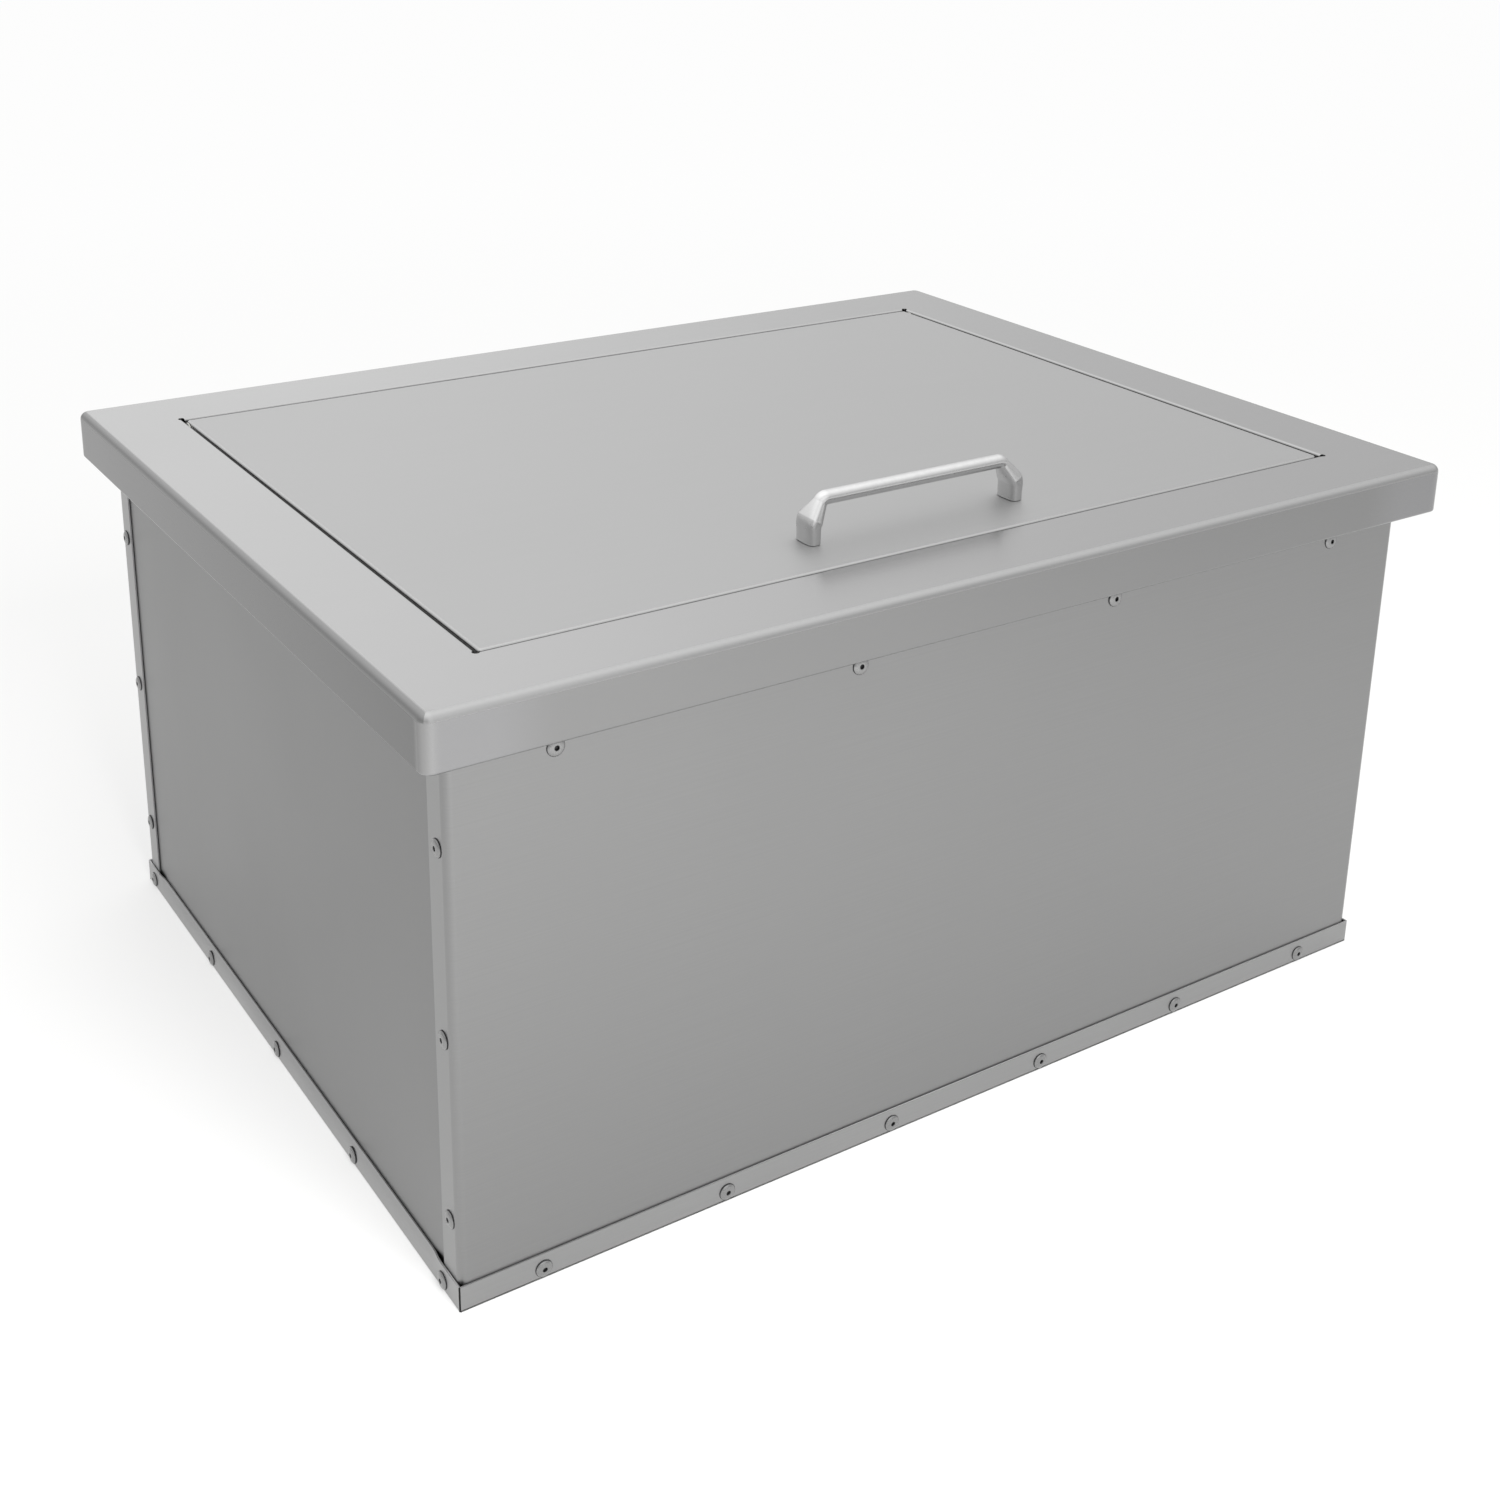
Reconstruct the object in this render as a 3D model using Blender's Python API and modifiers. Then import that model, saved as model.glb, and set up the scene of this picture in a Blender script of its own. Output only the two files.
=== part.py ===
"""A drop-in ice chest in stainless steel: an insulated tub hung by its rim in a worktop, with a flush lid.

Metres, +Z up, the front towards -Y. The origin is in the middle of the underside.
"""

import math

import bmesh
import bpy
from mathutils import Matrix, Vector

# Overall size
RIM_LENGTH = 0.660
RIM_DEPTH = 0.511
HEIGHT = 0.327
FIT = 0.0003
OVERRUN = 0.005

# Rim: one folded sheet with skirt, flat face, throat and lid ledge
RIM_SHEET = 0.0012
RIM_FACE = 0.0495
RIM_DROP = 0.0292
RIM_HEM = 0.010
RIM_BEND = 0.003
RIM_CORNER = 0.0045
THROAT_DEPTH = 0.021
THROAT_BEND = 0.0015
LEDGE_WIDTH = 0.018
RELIEF_RADIUS = 0.002

# Jacket: folded front and back panels round flat side panels, standing in a pan
OVERHANG_X = 0.0166
OVERHANG_Y = 0.0171
PANEL_SHEET = 0.0009
PANEL_BEND = 0.003
PANEL_TOP_ROOM = 0.006
STRIP_WIDTH = 0.018
PAN_SHEET = 0.0009
PAN_FLANGE = 0.0143
PAN_SEAM = 0.0004
PAN_SEAM_REACH = 0.0036

# Angles that tie the jacket to the rim and the tub
ANGLE_SHEET = 0.0015
ANGLE_DROP = 0.030
ANGLE_BEND = 0.0025

# Tub
TUB_SHEET = 0.0009
TUB_FLANGE = 0.014
TUB_BEND = 0.0015
TUB_CORNER = 0.014
TUB_FLOOR_BEND = 0.010
FLOOR_BOARD = 0.036

# Lid: outer skin, foam, liner with a shallow plug, gasket
LID_GAP = 0.0022
LID_RECESS = 0.0004
LID_SHEET = 0.001
LID_SIDE = 0.016
LID_RETURN = 0.014
LID_BEND = 0.0015
LID_CORNER = 0.0022
LINER_SHEET = 0.0008
LINER_INSET = 0.0015
LINER_PLUG = 0.009
LINER_BEND = 0.0025
LINER_CORNER = 0.005
PLUG_GAP = 0.003
GASKET_INSET = 0.0085
GASKET_WIDTH = 0.007
GASKET_CORNER = 0.006

# Lid hinge: a shouldered pin from each throat wall into a bush in the lid's side
PIVOT_INSET = 0.0055
PIVOT_DEPTH = 0.0055
PIN_RADIUS = 0.0025
PIN_HEAD_RADIUS = 0.0045
PIN_HEAD = 0.002
PIN_PLAY = 0.00015
BUSH_WALL = 0.0013
BUSH_FLANGE = 0.001
BUSH_FLANGE_WIDTH = 0.0013
BUSH_LENGTH = 0.008

# Handle
HANDLE_SPAN = 0.1375
HANDLE_SETBACK = 0.0373
HANDLE_RISE = 0.0266
HANDLE_LEAN = 0.0082
HANDLE_FOOT = 0.010
HANDLE_KNEE = 0.009
HANDLE_BEND = 0.0045
BAR_RADIUS = 0.004
FOOT_THICKNESS = 0.008
FOOT_WIDTH = 0.016
FOOT_SQUARENESS = 6
SHOULDER = 0.0085
HANDLE_SCREW_RADIUS = 0.002
HANDLE_SCREW_DEPTH = 0.007
SCREW_HEAD_RADIUS = 0.004
SCREW_HEAD = 0.0025

# Drain
DRAIN_BORE = 0.012
DRAIN_SEAT = 0.0145
DRAIN_SEAT_DEPTH = 0.010
DRAIN_TAIL = 0.0165
DRAIN_FLANGE = 0.030
DRAIN_FLANGE_THICKNESS = 0.0025
DRAIN_EDGE = 0.001
DRAIN_ABOVE_BASE = 0.0015
DRAIN_PAN_ROOM = 0.004
WASHER_RADIUS = 0.024
WASHER_THICKNESS = 0.002
NUT_SIDES = 6
NUT_RADIUS = 0.025
NUT_THICKNESS = 0.007
NUT_ROOM = 0.003
PLUG_HEAD_RADIUS = 0.018
PLUG_HEAD = 0.003
PLUG_NECK_RADIUS = 0.0035
PLUG_NECK = 0.003
PLUG_KNOB_RADIUS = 0.007
PLUG_KNOB = 0.005

# Blind rivets
RIVET_HEAD_RADIUS = 0.00475
RIVET_HEAD = 0.0015
RIVET_SHANK = 0.0024
RIVET_TAIL_RADIUS = 0.0033
RIVET_TAIL = 0.0035
MANDREL_RADIUS = 0.0013
MANDREL_DEPTH = 0.0007
DOME_SHARES = (0.70, 0.72)
RIVET_ROOM = 0.0012

# Rivet rows
PAN_RIVET_HEIGHT = 0.0056
PAN_ROW_INSET = 0.0446
PAN_ROW_COUNT = 6
SIDE_ROW_START = 0.0178
SIDE_ROW_END = 0.011
SIDE_ROW_COUNT = 5
RIM_ROW_INSET = 0.056
RIM_ROW_COUNT = 4
RIM_ROW_EDGE = 0.0137
STRIP_ROW_START = 0.047
STRIP_ROW_END = 0.0794
STRIP_ROW_COUNT = 3

# Facets
BEND_STEPS = 3
CORNER_STEPS = 2
TUB_CORNER_STEPS = 4
TURN_STEPS = 24
SMALL_STEPS = 16
RIVET_STEPS = 8
HANDLE_STEPS = 4
SECTION_POINTS = 16

# Places worked out from the sizes
HALF_X = RIM_LENGTH / 2
HALF_Y = RIM_DEPTH / 2
OPEN_X = HALF_X - RIM_FACE
OPEN_Y = HALF_Y - RIM_FACE
MOUTH_X = OPEN_X - LEDGE_WIDTH
MOUTH_Y = OPEN_Y - LEDGE_WIDTH
BODY_X = HALF_X - OVERHANG_X
BODY_Y = HALF_Y - OVERHANG_Y
LEDGE_TOP = HEIGHT - THROAT_DEPTH
TUB_TOP = LEDGE_TOP - RIM_SHEET - FIT
ANGLE_TOP = TUB_TOP - TUB_SHEET - FIT
BOARD_TOP = ANGLE_TOP - ANGLE_SHEET - FIT
PANEL_BASE = PAN_SHEET + FIT
PANEL_TOP = HEIGHT - PANEL_TOP_ROOM
FLOOR_BOARD_TOP = PANEL_BASE + FLOOR_BOARD
TUB_FLOOR = FLOOR_BOARD_TOP + FIT + TUB_SHEET
SIDE_PANEL_X = BODY_X - PANEL_SHEET - FIT
RIVET_REACH = FIT + RIVET_TAIL + RIVET_ROOM
BOARD_X = SIDE_PANEL_X - PANEL_SHEET - RIVET_REACH
BOARD_Y = BODY_Y - PANEL_SHEET - FIT - ANGLE_SHEET - RIVET_REACH
TUB_OUT_X = MOUTH_X + TUB_SHEET + FIT
TUB_OUT_Y = MOUTH_Y + TUB_SHEET + FIT
LID_TOP = HEIGHT - LID_RECESS
LID_X = OPEN_X - LID_GAP
LID_Y = OPEN_Y - LID_GAP
LID_BASE = LID_TOP - LID_SIDE
LINER_BASE = LID_BASE - FIT - LINER_SHEET
PIVOT_Y = LID_Y - PIVOT_INSET
PIVOT_Z = LID_TOP - PIVOT_DEPTH
HANDLE_Y = HANDLE_SETBACK - LID_Y
PAN_X = BODY_X + FIT + PAN_SHEET
PAN_Y = BODY_Y + FIT + PAN_SHEET
PAN_ROW_X = BODY_X - PAN_ROW_INSET
RIM_ROW_X = BODY_X - RIM_ROW_INSET
RIM_ROW_HEIGHT = ANGLE_TOP - ANGLE_DROP + RIM_ROW_EDGE


def clear_scene():
    for obj in list(bpy.data.objects):
        bpy.data.objects.remove(obj, do_unlink=True)


def new_collection(name):
    made = bpy.data.collections.new(name)
    bpy.context.scene.collection.children.link(made)
    return made


def material(name, colour, roughness, metallic):
    made = bpy.data.materials.new(name)
    made.use_nodes = True
    shader = made.node_tree.nodes["Principled BSDF"]
    shader.inputs["Base Color"].default_value = (*colour, 1.0)
    shader.inputs["Roughness"].default_value = roughness
    shader.inputs["Metallic"].default_value = metallic
    made.diffuse_color = (*colour, 1.0)
    return made


clear_scene()
CHEST = new_collection("ice_chest")
CUTTERS = new_collection("cutters")
BRUSHED = material("brushed_stainless", (0.50, 0.50, 0.50), 0.34, 1.0)
SATIN = material("satin_stainless", (0.55, 0.55, 0.55), 0.26, 1.0)
POLISHED = material("polished_stainless", (0.62, 0.62, 0.62), 0.16, 1.0)
FOAM = material("white_foam", (0.85, 0.85, 0.83), 0.80, 0.0)
RUBBER = material("grey_rubber", (0.06, 0.06, 0.06), 0.60, 0.0)
NYLON = material("white_nylon", (0.72, 0.72, 0.68), 0.45, 0.0)


def axis_empty(name, location):
    """The frame that a moving group hangs on, on its joint's axis."""
    empty = bpy.data.objects.new(name, None)
    empty.location = location
    CHEST.objects.link(empty)
    return empty


def add(name, mesh, finish, location=(0, 0, 0), parent=None):
    """A piece at a place in the world, hung on its parent empty if it has one."""
    obj = bpy.data.objects.new(name, mesh)
    obj.location = location
    if parent:
        obj.parent = parent
        obj.location = obj.location - parent.location
    if not mesh.materials:
        mesh.materials.append(finish)
    CHEST.objects.link(obj)
    return obj


def mesh_of(name, bm):
    mesh = bpy.data.meshes.new(name)
    bm.to_mesh(mesh)
    bm.free()
    return mesh


def arc(before, corner, after, radius, steps):
    """The corner of an outline as an arc that is tangent to both of its sides."""
    if not radius:
        return [corner]
    back = (before - corner).normalized()
    on = (after - corner).normalized()
    half_angle = back.angle(on) / 2
    reach = radius / math.tan(half_angle)
    centre = corner + (back + on).normalized() * (radius / math.sin(half_angle))
    start = corner + back * reach - centre
    end = corner + on * reach - centre
    turn = math.atan2(start.cross(end), start.dot(end))
    return [centre + Matrix.Rotation(turn * i / steps, 2) @ start for i in range(steps + 1)]


def rounded(outline, radii, steps=BEND_STEPS):
    """An open outline whose inner corners are arcs of the given radii."""
    points = [Vector(point) for point in outline]
    made = [points[0]]
    for before, corner, after, radius in zip(points, points[1:], points[2:], radii):
        made += arc(before, corner, after, radius, steps)
    return made + [points[-1]]


def ring(half_x, half_y, radius, steps, height):
    """A rounded rectangle, anticlockwise seen from above. No steps leaves its corners sharp."""
    points = []
    for quarter, (side_x, side_y) in enumerate(((1, -1), (1, 1), (-1, 1), (-1, -1))):
        if not steps:
            points.append(Vector((side_x * half_x, side_y * half_y, height)))
            continue
        centre = Vector((side_x * (half_x - radius), side_y * (half_y - radius), height))
        for i in range(steps + 1):
            angle = math.radians(90) * (quarter - 1 + i / steps)
            points.append(centre + radius * Vector((math.cos(angle), math.sin(angle), 0)))
    return points


def loft(rings, close_first=False, close_last=False, join_ends=False):
    """A skin over rings of equally many points. Its faces point up where the rings step inwards."""
    bm = bmesh.new()
    loops = [[bm.verts.new(point) for point in points] for points in rings]
    pairs = list(zip(loops, loops[1:]))
    if join_ends:
        pairs.append((loops[-1], loops[0]))
    for one, other in pairs:
        for i, vert in enumerate(one):
            j = (i + 1) % len(one)
            bm.faces.new((vert, one[j], other[j], other[i]))
    if close_first:
        bm.faces.new(list(reversed(loops[0])))
    if close_last:
        bm.faces.new(loops[-1])
    return bm


def frame_rings(half_x, half_y, profile, corner, least_corner, steps):
    """Rings for a profile of (inset, height) points that runs round a rectangle, with concentric corners."""
    return [
        ring(half_x - inset, half_y - inset, max(corner - inset, least_corner), steps, height)
        for inset, height in profile
    ]


def solidify(obj, thickness):
    """Gives a sheet its thickness on the side away from its faces."""
    wall = obj.modifiers.new("sheet", "SOLIDIFY")
    wall.thickness = thickness
    wall.offset = -1
    wall.use_even_offset = True


def bevel(obj, width, steps):
    edge = obj.modifiers.new("bend", "BEVEL")
    edge.width = width
    edge.segments = steps
    edge.limit_method = "ANGLE"


def folded_sheet(name, outline, axis, start, stop, thickness, bend, finish):
    """A flat outline drawn out along X or Z from start to stop, with round bends."""
    place = {"X": lambda p, d: (d, *p), "Z": lambda p, d: (*p, d)}[axis]
    bm = bmesh.new()
    low, high = ([bm.verts.new(place(point, d)) for point in outline] for d in (start, stop))
    for i in range(len(outline) - 1):
        bm.faces.new((low[i], low[i + 1], high[i + 1], high[i]))
    sheet = add(name, mesh_of(name, bm), finish)
    bevel(sheet, bend, BEND_STEPS)
    solidify(sheet, thickness)
    return sheet


def block_mesh(name, low, high):
    low, high = Vector(low), Vector(high)
    bm = bmesh.new()
    bmesh.ops.create_cube(bm, size=1)
    bmesh.ops.scale(bm, vec=high - low, verts=bm.verts)
    bmesh.ops.translate(bm, vec=(low + high) / 2, verts=bm.verts)
    return mesh_of(name, bm)


def turned(name, profile, finish, steps=TURN_STEPS, closed=False, mesh=None, **place):
    """A profile of (radius, height) points spun round Z. It runs down its outer side."""
    if mesh is None:
        bm = bmesh.new()
        points = [bm.verts.new((radius, 0, height)) for radius, height in profile]
        for one, other in zip(points, points[1:]):
            bm.edges.new((one, other))
        if closed:
            bm.edges.new((points[-1], points[0]))
        mesh = mesh_of(name, bm)
    obj = add(name, mesh, finish, **place)
    spin = obj.modifiers.new("turn", "SCREW")
    spin.steps = spin.render_steps = steps
    spin.use_merge_vertices = True
    spin.merge_threshold = 0.00001
    spin.use_smooth_shade = True
    return obj


def cutter(name, mesh):
    obj = bpy.data.objects.new(name, mesh)
    obj.hide_render = True
    obj.display_type = "WIRE"
    CUTTERS.objects.link(obj)
    return obj


def boolean(obj, other, operation="DIFFERENCE"):
    cut = obj.modifiers.new(other.name, "BOOLEAN")
    cut.operation = operation
    cut.solver = "EXACT"
    cut.object = other


def drill(name, radius, holes, steps=RIVET_STEPS):
    """One cutter of round holes, each from one point to another."""
    bm = bmesh.new()
    for start, stop in holes:
        start, stop = Vector(start), Vector(stop)
        turn = (stop - start).to_track_quat("Z", "Y").to_matrix().to_4x4()
        bmesh.ops.create_cone(
            bm,
            cap_ends=True,
            segments=steps,
            radius1=radius,
            radius2=radius,
            depth=(stop - start).length,
            matrix=Matrix.Translation((start + stop) / 2) @ turn,
        )
    return cutter(name, mesh_of(name, bm))


# Rim
def make_rim():
    profile = rounded(
        (
            (RIM_HEM, HEIGHT - RIM_DROP),
            (0, HEIGHT - RIM_DROP),
            (0, HEIGHT),
            (RIM_FACE, HEIGHT),
            (RIM_FACE, LEDGE_TOP),
            (RIM_FACE + LEDGE_WIDTH, LEDGE_TOP),
        ),
        (THROAT_BEND, RIM_BEND, THROAT_BEND, 0),
    )
    rings = frame_rings(HALF_X, HALF_Y, profile, RIM_CORNER, RIM_CORNER - RIM_BEND, CORNER_STEPS)
    rim = add("top_rim", mesh_of("top_rim", loft(rings)), BRUSHED)
    solidify(rim, RIM_SHEET)
    reliefs = drill(
        "rim_corner_reliefs",
        RELIEF_RADIUS,
        [
            ((x, y, LEDGE_TOP + RIM_SHEET), (x, y, HEIGHT + OVERRUN))
            for x in (-OPEN_X, OPEN_X)
            for y in (-OPEN_Y, OPEN_Y)
        ],
    )
    boolean(rim, reliefs)
    pin_holes = drill(
        "rim_pin_holes",
        PIN_RADIUS + PIN_PLAY,
        [
            ((side * (OPEN_X - LID_GAP / 2), PIVOT_Y, PIVOT_Z), (side * (OPEN_X + OVERRUN), PIVOT_Y, PIVOT_Z))
            for side in (-1, 1)
        ],
        SMALL_STEPS,
    )
    boolean(rim, pin_holes)


# Jacket
def spread(first, last, count):
    """Evenly spaced places from first to last."""
    return [first + (last - first) * i / (count - 1) for i in range(count)]


def pan_row():
    return spread(-PAN_ROW_X, PAN_ROW_X, PAN_ROW_COUNT)


def rim_row():
    return spread(-RIM_ROW_X, RIM_ROW_X, RIM_ROW_COUNT)


def side_row():
    return spread(SIDE_ROW_START - BODY_Y, BODY_Y - SIDE_ROW_END, SIDE_ROW_COUNT)


def strip_row():
    """Up the corner strips, from above the pan to below the rim."""
    return spread(STRIP_ROW_START, HEIGHT - STRIP_ROW_END, STRIP_ROW_COUNT)


def hole_through(point, direction):
    """A drilled hole along a rivet that is long enough for every sheet it holds."""
    point, direction = Vector(point), Vector(direction)
    return point + direction * OVERRUN, point - direction * OVERRUN


def make_end_panel(name, side):
    """The front panel for side -1, the back panel for side +1."""
    return_y = side * (BODY_Y - STRIP_WIDTH)
    outline = [
        (-BODY_X, return_y),
        (-BODY_X, side * BODY_Y),
        (BODY_X, side * BODY_Y),
        (BODY_X, return_y),
    ]
    panel = folded_sheet(
        name,
        outline[::-side],
        "Z",
        PANEL_BASE,
        PANEL_TOP,
        PANEL_SHEET,
        PANEL_BEND,
        BRUSHED,
    )
    outward = (0, side, 0)
    face_y = side * BODY_Y
    holes = [hole_through((x, face_y, PAN_RIVET_HEIGHT), outward) for x in pan_row()]
    holes += [hole_through((x, face_y, RIM_ROW_HEIGHT), outward) for x in rim_row()]
    strip_y = side * (BODY_Y - STRIP_WIDTH / 2)
    for end in (-1, 1):
        across = (end, 0, 0)
        holes += [hole_through((end * BODY_X, strip_y, z), across) for z in strip_row()]
        near = [y for y in side_row() if abs(y - face_y) < STRIP_WIDTH + RIVET_SHANK + FIT]
        holes += [hole_through((end * BODY_X, y, PAN_RIVET_HEIGHT), across) for y in near]
    boolean(panel, drill(name + "_holes", RIVET_SHANK + FIT, holes))


def make_side_panel(name, side):
    half_y = BODY_Y - PANEL_BEND - FIT
    outer = side * SIDE_PANEL_X
    inner = side * (SIDE_PANEL_X - PANEL_SHEET)
    low = (min(inner, outer), -half_y, PANEL_BASE)
    high = (max(inner, outer), half_y, PANEL_TOP)
    panel = add(name, block_mesh(name, low, high), BRUSHED)
    across = (side, 0, 0)
    holes = [hole_through((outer, y, PAN_RIVET_HEIGHT), across) for y in side_row()]
    for end in (-1, 1):
        strip_y = end * (BODY_Y - STRIP_WIDTH / 2)
        holes += [hole_through((outer, strip_y, z), across) for z in strip_row()]
    boolean(panel, drill(name + "_holes", RIVET_SHANK + FIT, holes))


def make_pan():
    """The rivets of the pan's long flanges are fused to it. Its seams are open at the corners."""
    profile = ((0, 0), (0, PAN_FLANGE))
    rings = frame_rings(PAN_X, PAN_Y, profile, 0, 0, 0)
    pan = add("bottom_pan", mesh_of("bottom_pan", loft(rings, close_first=True)), BRUSHED)
    solidify(pan, PAN_SHEET)
    holes = [
        hole_through((side * PAN_X, y, PAN_RIVET_HEIGHT), (side, 0, 0))
        for side in (-1, 1)
        for y in side_row()
    ]
    boolean(pan, drill("pan_side_holes", RIVET_SHANK + FIT, holes))
    drain_hole = [((0, 0, -OVERRUN), (0, 0, PAN_SHEET + OVERRUN))]
    boolean(pan, drill("pan_drain_hole", DRAIN_TAIL + DRAIN_PAN_ROOM, drain_hole, TURN_STEPS))
    seams = bmesh.new()
    for side_x in (-1, 1):
        for side_y in (-1, 1):
            slit = bmesh.ops.create_cube(seams, size=1)["verts"]
            bmesh.ops.scale(seams, vec=(PAN_SEAM, PAN_SEAM_REACH, PAN_FLANGE), verts=slit)
            turn = Matrix.Rotation(math.radians(-45 * side_x * side_y), 3, "Z")
            bmesh.ops.rotate(seams, cent=(0, 0, 0), matrix=turn, verts=slit)
            place = (side_x * PAN_X, side_y * PAN_Y, PAN_SHEET + PAN_FLANGE / 2)
            bmesh.ops.translate(seams, vec=place, verts=slit)
    boolean(pan, cutter("pan_seams", mesh_of("pan_seams", seams)))
    return pan


# Rivets
def rivet_profile(grip):
    """From the mandrel hole in the domed head, down the shank through the sheets, to the set tail."""
    out_share, up_share = DOME_SHARES
    under_sheets = -grip - 2 * FIT
    tail_end = under_sheets - RIVET_TAIL + FIT
    return (
        (0, RIVET_HEAD - MANDREL_DEPTH),
        (MANDREL_RADIUS, RIVET_HEAD - MANDREL_DEPTH),
        (MANDREL_RADIUS, RIVET_HEAD),
        (RIVET_HEAD_RADIUS * out_share, RIVET_HEAD * up_share),
        (RIVET_HEAD_RADIUS, 0),
        (RIVET_SHANK, 0),
        (RIVET_SHANK, under_sheets),
        (RIVET_TAIL_RADIUS, under_sheets),
        (RIVET_TAIL_RADIUS / 2, tail_end),
        (0, tail_end),
    )


def set_rivet(name, seat, direction, grip, shared):
    """A rivet whose head lies on the sheet at seat and points along direction."""
    place = Vector(seat) + Vector(direction) * FIT
    mesh = shared.get(grip)
    rivet = turned(name, rivet_profile(grip), SATIN, RIVET_STEPS, mesh=mesh, location=place)
    shared[grip] = rivet.data
    rivet.rotation_euler = Vector(direction).to_track_quat("Z", "Y").to_euler()
    return rivet


def make_rivets(pan):
    shared = {}
    pan_grip = PAN_SHEET + FIT + PANEL_SHEET
    side_grip = pan_grip + FIT + PANEL_SHEET
    strip_grip = PANEL_SHEET + FIT + PANEL_SHEET
    rim_grip = PANEL_SHEET + FIT + ANGLE_SHEET
    for face, side in (("front", -1), ("back", 1)):
        for i, x in enumerate(rim_row()):
            seat = (x, side * BODY_Y, RIM_ROW_HEIGHT)
            set_rivet(f"{face}_rim_rivet_{i + 1}", seat, (0, side, 0), rim_grip, shared)
        for i, x in enumerate(pan_row()):
            seat = (x, side * (PAN_Y - 2 * FIT), PAN_RIVET_HEIGHT)
            fused = set_rivet(f"{face}_pan_rivet_{i + 1}", seat, (0, side, 0), pan_grip, shared)
            CHEST.objects.unlink(fused)
            CUTTERS.objects.link(fused)
            fused.hide_render = True
            fused.display_type = "WIRE"
            boolean(pan, fused, "UNION")
    for face, side in (("left", -1), ("right", 1)):
        for i, y in enumerate(side_row()):
            seat = (side * PAN_X, y, PAN_RIVET_HEIGHT)
            set_rivet(f"{face}_pan_rivet_{i + 1}", seat, (side, 0, 0), side_grip, shared)
        for end_name, end in (("front", -1), ("back", 1)):
            for i, z in enumerate(strip_row()):
                seat = (side * BODY_X, end * (BODY_Y - STRIP_WIDTH / 2), z)
                name = f"{end_name}_{face}_strip_rivet_{i + 1}"
                set_rivet(name, seat, (side, 0, 0), strip_grip, shared)


# Rim angles
def make_angle(name, side):
    """An angle under the tub's flange whose long leg hangs down behind the panel's rivets."""
    leg_y = side * (BODY_Y - PANEL_SHEET - FIT)
    outline = [(side * TUB_OUT_Y, ANGLE_TOP), (leg_y, ANGLE_TOP), (leg_y, ANGLE_TOP - ANGLE_DROP)]
    angle = folded_sheet(
        name,
        outline[::-side],
        "X",
        -BOARD_X,
        BOARD_X,
        ANGLE_SHEET,
        ANGLE_BEND,
        SATIN,
    )
    outward = (0, side, 0)
    holes = [hole_through((x, leg_y, RIM_ROW_HEIGHT), outward) for x in rim_row()]
    boolean(angle, drill(name + "_holes", RIVET_SHANK + FIT, holes))


# Tub and insulation
def make_tub():
    profile = rounded(
        (
            (0, TUB_TOP),
            (TUB_FLANGE, TUB_TOP),
            (TUB_FLANGE, TUB_FLOOR),
            (TUB_FLANGE + 2 * TUB_CORNER, TUB_FLOOR),
        ),
        (TUB_BEND, TUB_FLOOR_BEND),
    )[:-1]
    corner = TUB_FLANGE + TUB_CORNER
    rings = frame_rings(MOUTH_X + TUB_FLANGE, MOUTH_Y + TUB_FLANGE, profile, corner, 0, TUB_CORNER_STEPS)
    tub = add("inner_tub", mesh_of("inner_tub", loft(rings, close_last=True)), BRUSHED)
    solidify(tub, TUB_SHEET)
    hole = [((0, 0, TUB_FLOOR - OVERRUN), (0, 0, TUB_FLOOR + OVERRUN))]
    boolean(tub, drill("tub_drain_hole", DRAIN_TAIL + FIT, hole, TURN_STEPS))


def make_boards():
    """Foam boards between the tub and the jacket, clear of the rivets' tails."""
    board_base = FLOOR_BOARD_TOP + FIT
    floor = add(
        "insulation_floor",
        block_mesh("insulation_floor", (-BOARD_X, -BOARD_Y, PANEL_BASE), (BOARD_X, BOARD_Y, FLOOR_BOARD_TOP)),
        FOAM,
    )
    hole = [((0, 0, -OVERRUN), (0, 0, FLOOR_BOARD_TOP + OVERRUN))]
    boolean(floor, drill("board_drain_hole", NUT_RADIUS + NUT_ROOM, hole, TURN_STEPS))
    for name, side in (("insulation_front", -1), ("insulation_back", 1)):
        near, far = sorted((side * TUB_OUT_Y, side * BOARD_Y))
        add(name, block_mesh(name, (-BOARD_X, near, board_base), (BOARD_X, far, BOARD_TOP)), FOAM)
    for name, side in (("insulation_left", -1), ("insulation_right", 1)):
        near, far = sorted((side * TUB_OUT_X, side * BOARD_X))
        half_y = TUB_OUT_Y - FIT
        add(name, block_mesh(name, (near, -half_y, board_base), (far, half_y, BOARD_TOP)), FOAM)


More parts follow.
